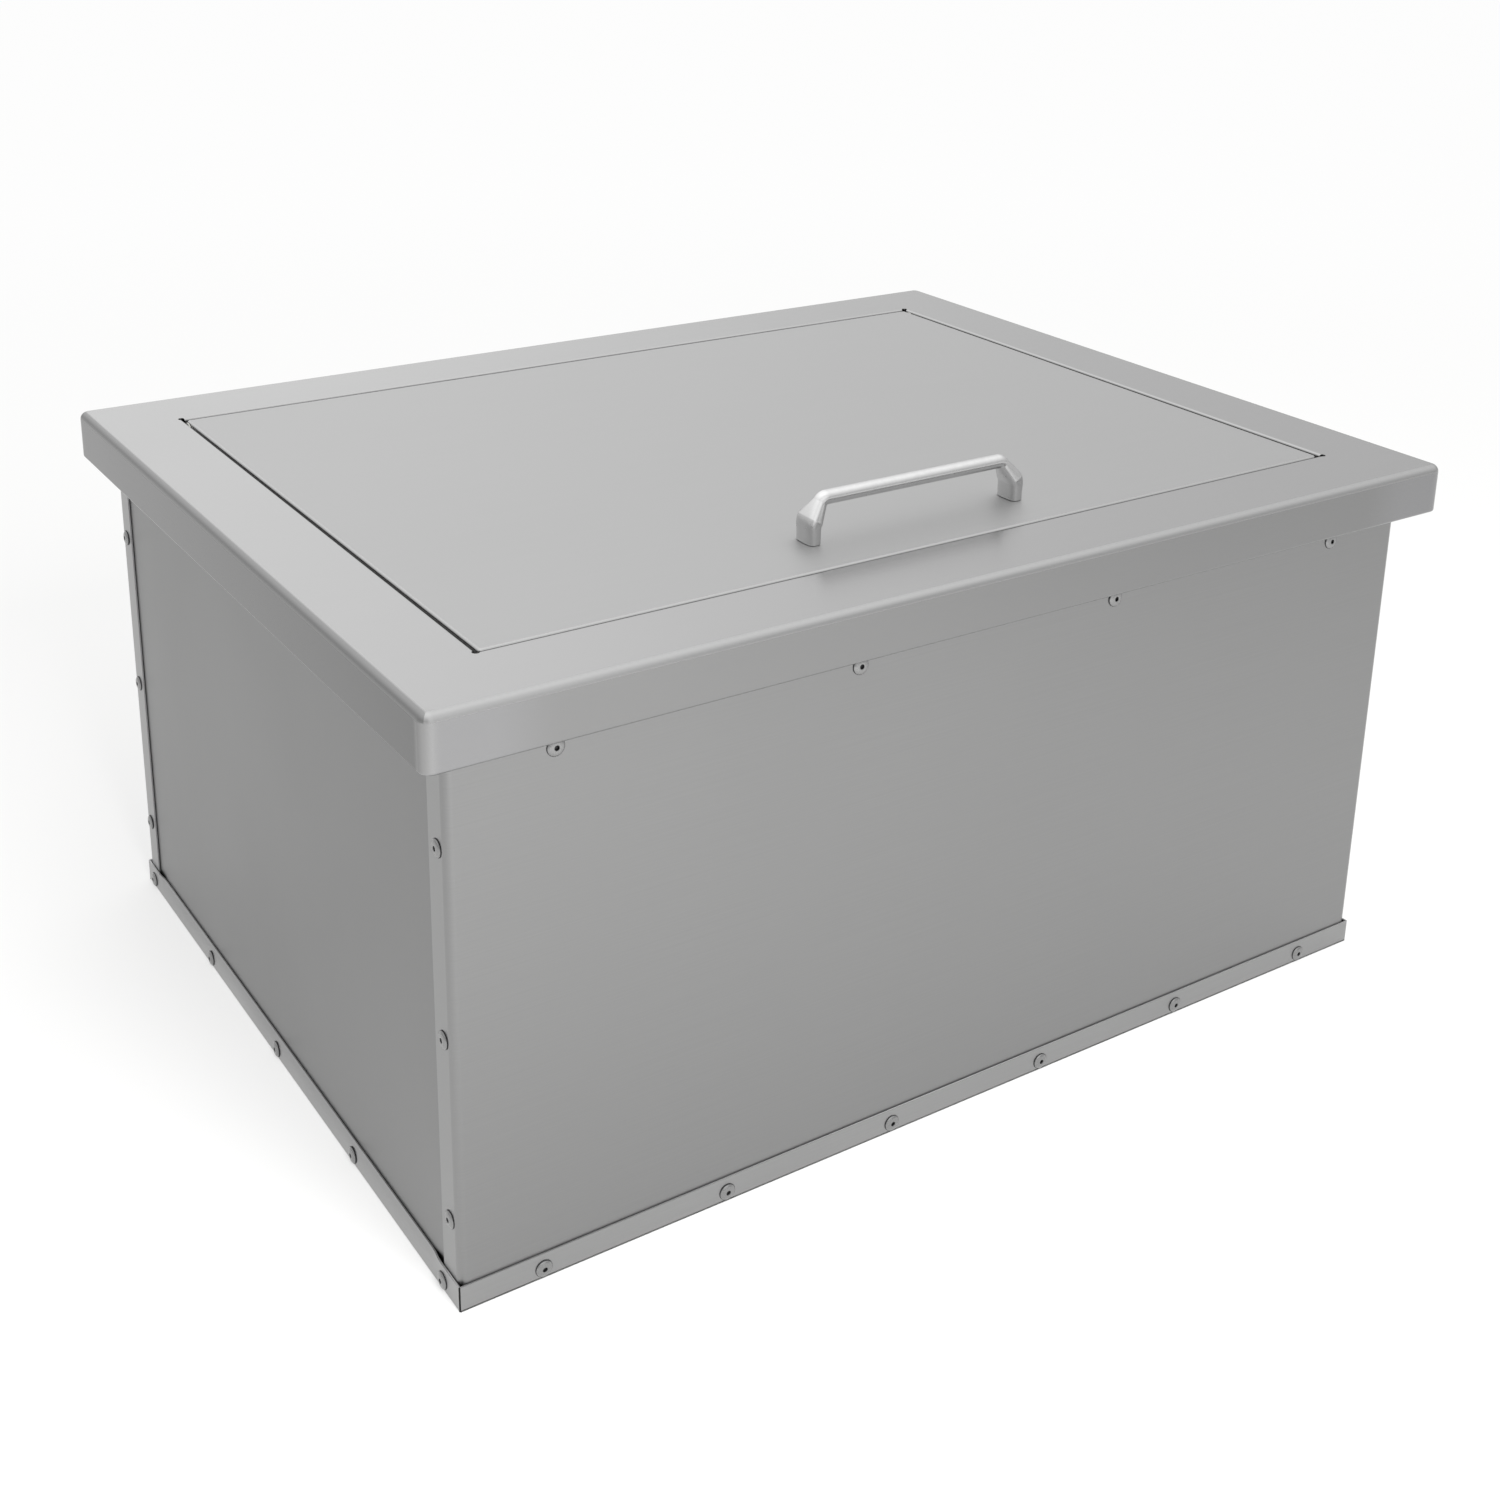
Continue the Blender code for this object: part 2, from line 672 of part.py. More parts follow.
# Drain
def make_drain():
    tail = TUB_FLOOR - DRAIN_ABOVE_BASE
    top = FIT + DRAIN_FLANGE_THICKNESS
    floor = (0, 0, TUB_FLOOR)
    turned(
        "drain_body",
        (
            (DRAIN_FLANGE - DRAIN_EDGE, top),
            (DRAIN_FLANGE, top - DRAIN_EDGE),
            (DRAIN_FLANGE, FIT),
            (DRAIN_TAIL, FIT),
            (DRAIN_TAIL, -tail),
            (DRAIN_BORE, -tail),
            (DRAIN_BORE, top - DRAIN_SEAT_DEPTH),
            (DRAIN_SEAT, top),
        ),
        SATIN,
        closed=True,
        location=floor,
    )
    under = -TUB_SHEET - FIT
    turned(
        "drain_washer",
        (
            (WASHER_RADIUS, under),
            (WASHER_RADIUS, under - WASHER_THICKNESS),
            (DRAIN_TAIL + FIT, under - WASHER_THICKNESS),
            (DRAIN_TAIL + FIT, under),
        ),
        RUBBER,
        closed=True,
        location=floor,
    )
    nut_top = under - WASHER_THICKNESS - FIT
    bm = bmesh.new()
    bmesh.ops.create_cone(
        bm, cap_ends=True, segments=NUT_SIDES, radius1=NUT_RADIUS, radius2=NUT_RADIUS, depth=NUT_THICKNESS
    )
    place = (0, 0, TUB_FLOOR + nut_top - NUT_THICKNESS / 2)
    nut = add("drain_locknut", mesh_of("drain_locknut", bm), SATIN, place)
    bore = [((0, 0, OVERRUN), (0, 0, TUB_FLOOR))]
    boolean(nut, drill("locknut_bore", DRAIN_TAIL + FIT, bore, TURN_STEPS))


def make_drain_plug():
    """A rubber stopper that seats in the drain's taper and lifts out by its knob."""
    axis = axis_empty("drain_plug_axis", (0, 0, TUB_FLOOR))
    flange_top = FIT + DRAIN_FLANGE_THICKNESS
    head = flange_top + FIT
    neck = head + PLUG_HEAD
    knob = neck + PLUG_NECK
    knob_edge = PLUG_KNOB_RADIUS - PLUG_NECK_RADIUS
    turned(
        "drain_plug",
        (
            (0, knob + PLUG_KNOB),
            (PLUG_KNOB_RADIUS - knob_edge / 2, knob + PLUG_KNOB),
            (PLUG_KNOB_RADIUS, knob + PLUG_KNOB / 2),
            (PLUG_NECK_RADIUS, knob),
            (PLUG_NECK_RADIUS, neck),
            (PLUG_HEAD_RADIUS - PLUG_HEAD / 2, neck),
            (PLUG_HEAD_RADIUS, neck - PLUG_HEAD / 2),
            (PLUG_HEAD_RADIUS, head),
            (DRAIN_SEAT - FIT, head),
            (DRAIN_SEAT - FIT, flange_top),
            (DRAIN_BORE - FIT, flange_top - DRAIN_SEAT_DEPTH),
            (0, flange_top - DRAIN_SEAT_DEPTH),
        ),
        RUBBER,
        location=(0, 0, TUB_FLOOR),
        parent=axis,
    )


# Lid
def make_lid_shells(axis):
    profile = rounded(
        ((LID_RETURN, -LID_SIDE), (0, -LID_SIDE), (0, 0), (LID_X, 0)),
        (LID_BEND, LID_BEND),
    )[:-1]
    rings = frame_rings(LID_X, LID_Y, profile, LID_CORNER, LID_CORNER - LID_BEND, CORNER_STEPS)
    skin = add(
        "lid_skin", mesh_of("lid_skin", loft(rings, close_last=True)), BRUSHED, (0, 0, LID_TOP), axis
    )
    solidify(skin, LID_SHEET)
    bush_hole = PIN_RADIUS + PIN_PLAY + BUSH_WALL + FIT
    boolean(skin, drill("lid_bush_holes", bush_hole, pivot_holes(), SMALL_STEPS))
    screws = [((x, HANDLE_Y, LID_TOP - OVERRUN), (x, HANDLE_Y, LID_TOP + OVERRUN)) for x in handle_feet()]
    boolean(skin, drill("lid_screw_holes", HANDLE_SCREW_RADIUS + FIT, screws))
    liner_x, liner_y = LID_X - LINER_INSET, LID_Y - LINER_INSET
    step = liner_x - (MOUTH_X - PLUG_GAP)
    profile = rounded(
        ((step + 2 * LINER_BEND, -LINER_PLUG), (step, -LINER_PLUG), (step, 0), (0, 0)),
        (LINER_BEND, LINER_BEND),
    )[1:]
    corner = step + LINER_CORNER
    rings = frame_rings(liner_x, liner_y, profile, corner, 0, CORNER_STEPS)
    mesh = mesh_of("lid_liner", loft(rings, close_first=True))
    solidify(add("lid_liner", mesh, SATIN, (0, 0, LINER_BASE), axis), LINER_SHEET)


def pivot_holes():
    """From the middle of the lid gap into the lid, on both sides."""
    outer = LID_X + LID_GAP / 2
    inner = LID_X - LID_SHEET - OVERRUN
    return [((side * outer, PIVOT_Y, PIVOT_Z), (side * inner, PIVOT_Y, PIVOT_Z)) for side in (-1, 1)]


def handle_feet():
    return (-HANDLE_SPAN / 2, HANDLE_SPAN / 2)


def make_lid_foam(axis):
    """One foam core that fills the skin and steps in to fill the liner's plug."""
    under_skin = -LID_SHEET - FIT
    over_return = -LID_SIDE + LID_SHEET + FIT
    over_liner = LINER_BASE - LINER_PLUG + LINER_SHEET + FIT - LID_TOP
    outer = LID_SHEET + LID_BEND
    step = LID_X - (MOUTH_X - PLUG_GAP - LINER_SHEET - FIT) + LINER_BEND / 2
    profile = ((step, over_liner), (step, over_return), (outer, over_return), (outer, under_skin))
    rings = frame_rings(LID_X, LID_Y, profile, outer + LINER_CORNER, LINER_CORNER, CORNER_STEPS)
    mesh = mesh_of("lid_foam", loft(rings, close_first=True, close_last=True))
    foam = add("lid_foam", mesh, FOAM, (0, 0, LID_TOP), axis)
    pockets = [
        ((x, HANDLE_Y, LID_TOP - OVERRUN), (x, HANDLE_Y, LID_TOP + OVERRUN)) for x in handle_feet()
    ]
    boolean(foam, drill("foam_screw_pockets", SCREW_HEAD_RADIUS + FIT, pockets))
    reach = LID_SHEET + BUSH_LENGTH + FIT
    room = PIVOT_INSET + PIN_RADIUS + PIN_PLAY + BUSH_WALL + FIT
    corners = bmesh.new()
    for side in (-1, 1):
        notch = bmesh.ops.create_cube(corners, size=2)["verts"]
        bmesh.ops.scale(corners, vec=(reach, room, LID_SIDE), verts=notch)
        bmesh.ops.translate(corners, vec=(side * LID_X, LID_Y, LID_TOP), verts=notch)
    boolean(foam, cutter("foam_bush_notches", mesh_of("foam_bush_notches", corners)))


def make_gasket(axis):
    """A strip round the liner's flange that closes on the ledge."""
    top = LINER_BASE - FIT
    base = LEDGE_TOP + FIT
    edge = (top - base) / 2
    inner = GASKET_INSET + GASKET_WIDTH
    profile = (
        (GASKET_INSET, top),
        (inner, top),
        (inner, base + edge),
        (inner - edge, base),
        (GASKET_INSET + edge, base),
        (GASKET_INSET, base + edge),
    )
    rings = frame_rings(LID_X, LID_Y, profile, inner + GASKET_CORNER, 0, CORNER_STEPS)
    add("lid_gasket", mesh_of("lid_gasket", loft(rings, join_ends=True)), RUBBER, parent=axis)


# Hinge
def make_hinge(axis):
    inner = LID_X - LID_SHEET - BUSH_LENGTH
    bore = PIN_RADIUS + PIN_PLAY
    sleeve = bore + BUSH_WALL
    flange_inner = LID_X + FIT
    for name, side in (("left", -1), ("right", 1)):
        turn = (0, side * math.radians(90), 0)
        throat = OPEN_X + RIM_SHEET + FIT
        pin = turned(
            f"hinge_pin_{name}",
            (
                (0, throat + PIN_HEAD),
                (PIN_HEAD_RADIUS, throat + PIN_HEAD),
                (PIN_HEAD_RADIUS, throat),
                (PIN_RADIUS, throat),
                (PIN_RADIUS, inner),
                (0, inner),
            ),
            POLISHED,
            SMALL_STEPS,
            location=(0, PIVOT_Y, PIVOT_Z),
        )
        bush = turned(
            f"hinge_bush_{name}",
            (
                (sleeve + BUSH_FLANGE_WIDTH, flange_inner + BUSH_FLANGE),
                (sleeve + BUSH_FLANGE_WIDTH, flange_inner),
                (sleeve, flange_inner),
                (sleeve, inner),
                (bore, inner),
                (bore, flange_inner + BUSH_FLANGE),
            ),
            NYLON,
            SMALL_STEPS,
            closed=True,
            location=(0, PIVOT_Y, PIVOT_Z),
            parent=axis,
        )
        pin.rotation_euler = bush.rotation_euler = turn


# Handle
def smooth_step(value):
    value = min(max(value, 0), 1)
    return value * value * (3 - 2 * value)


def handle_section(share):
    """A round bar at share 0, a flat bar with soft corners at share 1."""
    half_thick = BAR_RADIUS + (FOOT_THICKNESS / 2 - BAR_RADIUS) * share
    half_wide = BAR_RADIUS + (FOOT_WIDTH / 2 - BAR_RADIUS) * share
    power = 2 / (2 + (FOOT_SQUARENESS - 2) * share)
    points = []
    for i in range(SECTION_POINTS):
        angle = math.tau * i / SECTION_POINTS
        c, s = math.cos(angle), math.sin(angle)
        across = half_thick * math.copysign(abs(c) ** power, c)
        deep = half_wide * math.copysign(abs(s) ** power, s)
        points.append((across, deep))
    return points


def make_handle(axis):
    """A bridge handle, mirrored from one half: a broad foot, a leaning leg and the round bar."""
    foot_x = HANDLE_SPAN / 2
    bar_height = HANDLE_RISE - BAR_RADIUS
    path = rounded(
        ((foot_x, 0), (foot_x, HANDLE_FOOT), (foot_x - HANDLE_LEAN, bar_height), (0, bar_height)),
        (HANDLE_KNEE, HANDLE_BEND),
        HANDLE_STEPS,
    )
    rings = []
    for i, point in enumerate(path):
        along = path[min(i + 1, len(path) - 1)] - path[max(i - 1, 0)]
        across = Vector((along.y, -along.x)).normalized()
        share = smooth_step(1 - (point.y - HANDLE_FOOT) / SHOULDER)
        flat = [(point + across * out, deep) for out, deep in handle_section(share)]
        rings.append([Vector((place.x, deep, place.y)) for place, deep in flat])
    mesh = mesh_of("lid_handle", loft(rings, close_first=True))
    mesh.shade_smooth()
    handle = add("lid_handle", mesh, POLISHED, (0, HANDLE_Y, LID_TOP + FIT), axis)
    mirror = handle.modifiers.new("halves", "MIRROR")
    mirror.use_axis = (True, False, False)
    mirror.merge_threshold = 0.00001
    tap_top = LID_TOP + FIT + HANDLE_SCREW_DEPTH + FIT
    taps = [((x, HANDLE_Y, LID_TOP - OVERRUN), (x, HANDLE_Y, tap_top)) for x in handle_feet()]
    boolean(handle, drill("handle_taps", HANDLE_SCREW_RADIUS + FIT, taps))
    under_skin = -LID_SHEET - FIT
    for name, x in zip(("left", "right"), handle_feet()):
        turned(
            f"handle_screw_{name}",
            (
                (0, FIT + HANDLE_SCREW_DEPTH),
                (HANDLE_SCREW_RADIUS, FIT + HANDLE_SCREW_DEPTH),
                (HANDLE_SCREW_RADIUS, under_skin),
                (SCREW_HEAD_RADIUS, under_skin),
                (SCREW_HEAD_RADIUS, under_skin - SCREW_HEAD),
                (0, under_skin - SCREW_HEAD),
            ),
            SATIN,
            RIVET_STEPS,
            location=(x, HANDLE_Y, LID_TOP),
            parent=axis,
        )


make_rim()
make_end_panel("front_panel", -1)
make_end_panel("back_panel", 1)
make_side_panel("left_panel", -1)
make_side_panel("right_panel", 1)
make_rivets(make_pan())
make_angle("front_rim_angle", -1)
make_angle("back_rim_angle", 1)
make_tub()
make_boards()
make_drain()
make_drain_plug()
HINGE_AXIS = axis_empty("lid_hinge_axis", (0, PIVOT_Y, PIVOT_Z))
make_lid_shells(HINGE_AXIS)
make_lid_foam(HINGE_AXIS)
make_gasket(HINGE_AXIS)
make_hinge(HINGE_AXIS)
make_handle(HINGE_AXIS)
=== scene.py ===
import math

import bmesh
import bpy
from mathutils import Matrix, Vector


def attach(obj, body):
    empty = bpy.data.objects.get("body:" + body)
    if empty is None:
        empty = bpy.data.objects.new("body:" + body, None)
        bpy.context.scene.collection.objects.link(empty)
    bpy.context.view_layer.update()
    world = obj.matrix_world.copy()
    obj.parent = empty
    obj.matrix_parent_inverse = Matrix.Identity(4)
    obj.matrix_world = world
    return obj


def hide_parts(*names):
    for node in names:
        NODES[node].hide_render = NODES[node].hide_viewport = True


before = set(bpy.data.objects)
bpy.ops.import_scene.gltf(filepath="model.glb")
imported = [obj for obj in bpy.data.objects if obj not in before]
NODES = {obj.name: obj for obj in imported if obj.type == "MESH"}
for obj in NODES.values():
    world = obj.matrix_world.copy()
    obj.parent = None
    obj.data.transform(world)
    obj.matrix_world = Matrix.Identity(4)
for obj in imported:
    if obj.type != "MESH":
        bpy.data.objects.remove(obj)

SCENE = bpy.context.scene
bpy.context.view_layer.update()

# Camera
# It stands where the photographer's did: off the chest's front left corner and a little above the rim,
# aimed level with the lid, with the view shifted down to the chest.
CAMERA_PLACE = (-0.6412, -0.9706, 0.6998)
CAMERA_TURN = (71.859, -0.957, -33.306)
CAMERA_LENS = 48.116
CAMERA_SENSOR = 36
CAMERA_SHIFT = -0.2

camera_data = bpy.data.cameras.new("camera")
camera_data.lens = CAMERA_LENS
camera_data.sensor_width = CAMERA_SENSOR
camera_data.shift_y = CAMERA_SHIFT
camera = bpy.data.objects.new("camera", camera_data)
camera.location = CAMERA_PLACE
camera.rotation_euler = [math.radians(angle) for angle in CAMERA_TURN]
SCENE.collection.objects.link(camera)
SCENE.camera = camera
SCENE.view_settings.view_transform = "Standard"

# Floor and studio light
# A plain pale studio floor under a soft white surround, which a broad white sheet overhead and another
# behind the chest make brighter. A soft box lights the floor before it, and a broad low one its front.
# The floor looks white and keeps the chest's shadow.
FLOOR_RADIUS = 14.0
FLOOR_STEPS = 96
FLOOR_COLOUR = "#EDEDEC"
FLOOR_NEAR = 0.6
FLOOR_FAR = 2.6
FLOOR_GLOW_NEAR = 0.5
FLOOR_GLOW_FAR = 0.85
WHITE = "#FFFFFF"
SURROUND_LIGHT = 0.30
SURROUND_WHITE = 0.62
WHITE_SHEETS = (
    ((0.259, 0.903, 0.342), 14.0, 0.46),
    ((-0.268, 0.824, 0.500), 12.0, 0.30),
    ((0.0, 0.0, 1.0), 1.5, 1.20),
)
SOFT_BOXES = (
    ("floor_box", (-0.25, -1.3, 1.0), (-0.15, -0.7, 0), 0.6, 0.6, 23, False),
    ("front_box", (-0.2, -2.6, 1.0), (-0.2, -0.4, 0.1), 2.4, 1.8, 6, True),
)


def linear(hex_colour):
    """An sRGB hex colour as linear red, green, blue and alpha."""
    channels = [int(hex_colour[i : i + 2], 16) / 255 for i in (1, 3, 5)]
    return (*[c / 12.92 if c <= 0.04045 else ((c + 0.055) / 1.055) ** 2.4 for c in channels], 1.0)


def add_node(tree, kind, inputs=None, **settings):
    """Adds a node with its settings. An input is a value, a node or a node's output to link, or a list of
    these where it takes several. A node stands for the first output that it has in use."""
    made = tree.nodes.new(kind)
    for name, value in settings.items():
        setattr(made, name, value)
    for key, given in (inputs or {}).items():
        for value in given if isinstance(given, list) else [given]:
            if isinstance(value, bpy.types.Node):
                value = next(output for output in value.outputs if output.enabled)
            if isinstance(value, bpy.types.NodeSocket):
                tree.links.new(value, made.inputs[key])
            else:
                made.inputs[key].default_value = value
    return made


def seen_rays(tree):
    """1 for a ray from the camera, from a reflection or through a clear material."""
    rays = add_node(tree, "ShaderNodeLightPath").outputs
    seen = rays["Is Camera Ray"]
    for kind in ("Is Glossy Ray", "Is Transmission Ray"):
        seen = add_node(tree, "ShaderNodeMath", {0: seen, 1: rays[kind]}, operation="MAXIMUM")
    return seen


def new_finish(name):
    """A material, its tree and the object's coordinates in it, with no other node yet."""
    made = bpy.data.materials.new(name)
    made.use_nodes = True
    tree = made.node_tree
    tree.nodes.clear()
    return made, tree, add_node(tree, "ShaderNodeTexCoord").outputs["Object"]


def new_piece(name, shape, finish):
    """A finished piece's object, at the origin, from a bmesh or a mesh."""
    data = shape
    if isinstance(shape, bmesh.types.BMesh):
        data = bpy.data.meshes.new(name)
        shape.to_mesh(data)
        shape.free()
    if not data.materials:
        data.materials.append(finish)
    made = bpy.data.objects.new(name, data)
    SCENE.collection.objects.link(made)
    return made


world = bpy.data.worlds.new("white_surround")
world.use_nodes = True
SCENE.world = world
world_tree = world.node_tree
world_tree.nodes.clear()
shades = [
    add_node(world_tree, "ShaderNodeBackground", {"Color": linear(WHITE), "Strength": strength})
    for strength in (SURROUND_LIGHT, SURROUND_WHITE)
]
surround = add_node(world_tree, "ShaderNodeMixShader", {0: seen_rays(world_tree), 1: shades[0], 2: shades[1]})
outlook = add_node(world_tree, "ShaderNodeTexCoord").outputs["Generated"]
for middle, falloff, light in WHITE_SHEETS:
    glow = add_node(world_tree, "ShaderNodeVectorMath", {0: outlook, 1: middle}, operation="DOT_PRODUCT")
    for operation, value in (("MAXIMUM", 0.0), ("POWER", falloff), ("MULTIPLY", light)):
        glow = add_node(world_tree, "ShaderNodeMath", {0: glow, 1: value}, operation=operation)
    sheet = add_node(world_tree, "ShaderNodeBackground", {"Color": linear(WHITE), "Strength": glow})
    surround = add_node(world_tree, "ShaderNodeAddShader", {0: surround, 1: sheet})
add_node(world_tree, "ShaderNodeOutputWorld", {"Surface": surround})

floor_finish, floor_tree, here = new_finish("matt_studio_floor")
paint = add_node(floor_tree, "ShaderNodeBsdfDiffuse", {"Color": linear(FLOOR_COLOUR)})
glow = add_node(floor_tree, "ShaderNodeEmission", {"Color": linear(WHITE), "Strength": 1.0})
away = add_node(floor_tree, "ShaderNodeVectorMath", {0: here}, operation="LENGTH")
span = {"From Min": FLOOR_NEAR, "From Max": FLOOR_FAR, "To Min": FLOOR_GLOW_NEAR, "To Max": FLOOR_GLOW_FAR}
fade = add_node(floor_tree, "ShaderNodeMapRange", {"Value": away, **span}, interpolation_type="SMOOTHSTEP")
share = add_node(floor_tree, "ShaderNodeMath", {0: seen_rays(floor_tree), 1: fade}, operation="MULTIPLY")
mixed = add_node(floor_tree, "ShaderNodeMixShader", {0: share, 1: paint, 2: glow})
add_node(floor_tree, "ShaderNodeOutputMaterial", {"Surface": mixed})
floor_mesh = bmesh.new()
bmesh.ops.create_circle(floor_mesh, cap_ends=True, segments=FLOOR_STEPS, radius=FLOOR_RADIUS)
floor = new_piece("floor", floor_mesh, floor_finish)

for box_name, place, target, width, height, power, mirrored in SOFT_BOXES:
    box_light = bpy.data.lights.new(box_name, "AREA")
    box_light.shape = "RECTANGLE"
    box_light.size = width
    box_light.size_y = height
    box_light.energy = power
    soft_box = bpy.data.objects.new(box_name, box_light)
    soft_box.location = place
    soft_box.rotation_euler = (Vector(target) - Vector(place)).to_track_quat("-Z", "Y").to_euler()
    soft_box.visible_camera = False
    soft_box.visible_glossy = mirrored
    SCENE.collection.objects.link(soft_box)

# Bottom pan
# A shallow pan of 0.9 mm stainless sheet, cut and folded up on its four sides outside the jacket. Its
# corner seams are left open, and the sheet along them is painted near black as the seams' shade. It has
# a clearance hole for the drain, and the rivets draw the tops of its side flanges in against the side sheets.
HEIGHT = 0.327
HALF_X = 0.330
HALF_Y = 0.2555
BODY_X = 0.3134
BODY_Y = 0.2384
SHEET = 0.0009
FIT = 0.0003
PAN_X = BODY_X + FIT + SHEET
PAN_Y = BODY_Y + FIT + SHEET
PAN_FLANGE = 0.0143
PAN_FOLD = 0.0011
FOLD_STEPS = 5
PAN_SEAM = 0.0007
PAN_HOLE = 0.0205
FLANGE_DRAW = 0.0013
FLANGE_SKIN = 0.0001
DRAW_LINES = (0.206, 0.209, 0.212, 0.215, 0.218)
DRAW_HEIGHTS = (0.0070, 0.0095, 0.0120)
HOLE_STEPS = 64
CREASE_ANGLE = 38
END_ON = 0.8
STEEL = "#999999"
BRIGHTER_STEEL = "#9D9D9D"
GRAIN_LENGTH = 0.12
GRAIN_WIDTH = 0.0007
GRAIN_ROUGHNESS = 0.34
GRAIN_GLINT = 0.015
GRAIN_PULL = 0.45
QUARTER_TURN = 0.25
GROOVE_DEPTH = 0.00003
GROOVE_STRENGTH = 0.06
HAND_MARKS = 0.01
HAND_MARK_SCALE = 9.0
SHEET_WAVE = 0.0002
SHEET_WAVE_SCALE = 5.5
PAN_MARKS = 0.05
NOISE_SPAN = {"From Min": 0.3, "From Max": 0.7}
# The sheared edges: dull sheared steel, set lighter than the brushed faces as a painted highlight along them.
SHEARED_EDGE_HIGHLIGHT = "#ABABAC"
SHEARED_EDGE_HIGHLIGHT_BRIGHT = "#BDBDBD"
# Painted shade for the pan's open corner seams.
SEAM_SHADE_STEEL = "#2E2E2E"
SEAM_SHADE_BRIGHT = "#454545"
SHEARED_ROUGHNESS = 0.55
SHEAR_TEARS = 0.0006
TEAR_DEPTH = 0.00008


def end_finish(made, tone, colour, other, relief, shine):
    """Ends a material: a tone that mixes its two colours, its relief, and the shader's other inputs."""
    tree = made.node_tree
    mix = {"Factor": tone, "A": linear(colour), "B": linear(other)}
    colours = add_node(tree, "ShaderNodeMix", mix, data_type="RGBA")
    dents = add_node(tree, "ShaderNodeBump", relief)
    shader = add_node(tree, "ShaderNodeBsdfPrincipled", {"Base Color": colours, "Normal": dents, **shine})
    add_node(tree, "ShaderNodeOutputMaterial", {"Surface": shader})
    return made


def brushed_steel(name, roughness=GRAIN_ROUGHNESS, colour=STEEL, brighter=BRIGHTER_STEEL, marks=HAND_MARKS):
    """Stainless sheet with a No. 4 brushed finish: long fine scratches along the rolling direction.

    To the eye it is a soft satin sheen that smears reflections across the grain. The real scratches are
    under 0.1 mm wide, and are drawn at 0.7 mm because finer ones would vanish in the render.
    """
    made, tree, place = new_finish(name)
    stretch = (1 / GRAIN_LENGTH, 1 / GRAIN_WIDTH, 1.0)
    along = add_node(tree, "ShaderNodeUVMap", uv_map="grain")
    drawn_out = add_node(tree, "ShaderNodeMapping", {"Vector": along, "Scale": stretch})
    scratches, handling, waves = [
        add_node(tree, "ShaderNodeTexNoise", dict(zip(("Vector", "Scale", "Detail", "Roughness"), given)))
        for given in (
            (drawn_out, 1.0, 3.0, 0.65),
            (place, HAND_MARK_SCALE, 2.0, 0.5),
            (place, SHEET_WAVE_SCALE, 1.0, 0.4),
        )
    ]
    tone, grit, cloud = [
        add_node(tree, "ShaderNodeMapRange", {"Value": value, **NOISE_SPAN, "To Min": low, "To Max": high})
        for value, low, high in (
            (scratches, 0.0, 1.0),
            (scratches, roughness - GRAIN_GLINT, roughness + GRAIN_GLINT),
            (handling, -marks, marks),
        )
    ]
    gloss = add_node(tree, "ShaderNodeMath", {0: grit, 1: cloud}, operation="ADD")
    hollows = add_node(tree, "ShaderNodeBump", {"Strength": 1.0, "Distance": SHEET_WAVE, "Height": waves})
    across = add_node(tree, "ShaderNodeTangent", direction_type="UV_MAP", uv_map="grain")
    return end_finish(
        made,
        tone,
        colour,
        brighter,
        {"Strength": GROOVE_STRENGTH, "Distance": GROOVE_DEPTH, "Height": scratches, "Normal": hollows},
        {
            "Metallic": 1.0,
            "Roughness": gloss,
            "Anisotropic": GRAIN_PULL,
            "Anisotropic Rotation": QUARTER_TURN,
            "Tangent": across,
        },
    )


def settle(piece):
    """Makes a piece's modifiers part of its mesh."""
    bpy.context.view_layer.update()
    shaped = piece.evaluated_get(bpy.context.evaluated_depsgraph_get())
    data = bpy.data.meshes.new_from_object(shaped)
    piece.modifiers.clear()
    old = piece.data
    piece.data = data
    bpy.data.meshes.remove(old)
    data.name = piece.name


def shade(piece, crease):
    """Shades a piece round, but for its edges that are sharper than an angle in degrees."""
    piece.data.shade_smooth()
    piece.data.set_sharp_from_angle(angle=math.radians(crease))


def smooth_bends(piece):
    """Rounds the shading of the bends, and leaves the flat sheet between them flat."""
    shade(piece, CREASE_ANGLE)
    flatten = piece.modifiers.new("flat_sheet", "WEIGHTED_NORMAL")
    flatten.weight = 100
    flatten.keep_sharp = True
    settle(piece)


def lay_grain(piece, grain=0):
    """A map in metres with its first axis along the brushing, X unless it is given, or along Y on the
    faces that the brushing would run straight into."""
    data = piece.data
    layer = data.uv_layers.new(name="grain")
    for face in data.polygons:
        normal = face.normal
        axis = grain if abs(normal[grain]) < END_ON else 1
        other = min([i for i in range(3) if i != axis], key=lambda i: abs(normal[i]))
        for loop in face.loop_indices:
            point = data.vertices[data.loops[loop].vertex_index].co
            layer.data[loop].uv = (point[axis], point[other])


def cut(piece, shape):
    """Takes a shape out of a piece."""
    tool = new_piece("cut", shape, None)
    boolean = piece.modifiers.new("cut", "BOOLEAN")
    boolean.solver = "EXACT"
    boolean.use_self = True
    boolean.operation = "DIFFERENCE"
    boolean.object = tool
    settle(piece)
    bpy.data.objects.remove(tool)


def drill(holes, radius, steps=HOLE_STEPS):
    """Round bars, each from one point to another, to cut holes with."""
    bars = bmesh.new()
    for start, stop in holes:
        start, stop = Vector(start), Vector(stop)
        turn = (stop - start).to_track_quat("Z", "Y").to_matrix().to_4x4()
        bmesh.ops.create_cone(
            bars,
            cap_ends=True,
            segments=steps,
            radius1=radius,
            radius2=radius,
            depth=(stop - start).length,
            matrix=Matrix.Translation((start + stop) / 2) @ turn,
        )
    return bars


def sheared_steel(name, colour, brighter):
    """The sheared edge of the sheet: torn rather than brushed, so it looks dull beside its faces."""
    made, tree, place = new_finish(name)
    fine = {"Scale": 1 / SHEAR_TEARS, "Detail": 3.0, "Roughness": 0.6}
    tears = add_node(tree, "ShaderNodeTexNoise", {"Vector": place, **fine})
    torn = {"Strength": 0.5, "Distance": TEAR_DEPTH, "Height": tears}
    return end_finish(made, tears, colour, brighter, torn, {"Metallic": 1.0, "Roughness": SHEARED_ROUGHNESS})


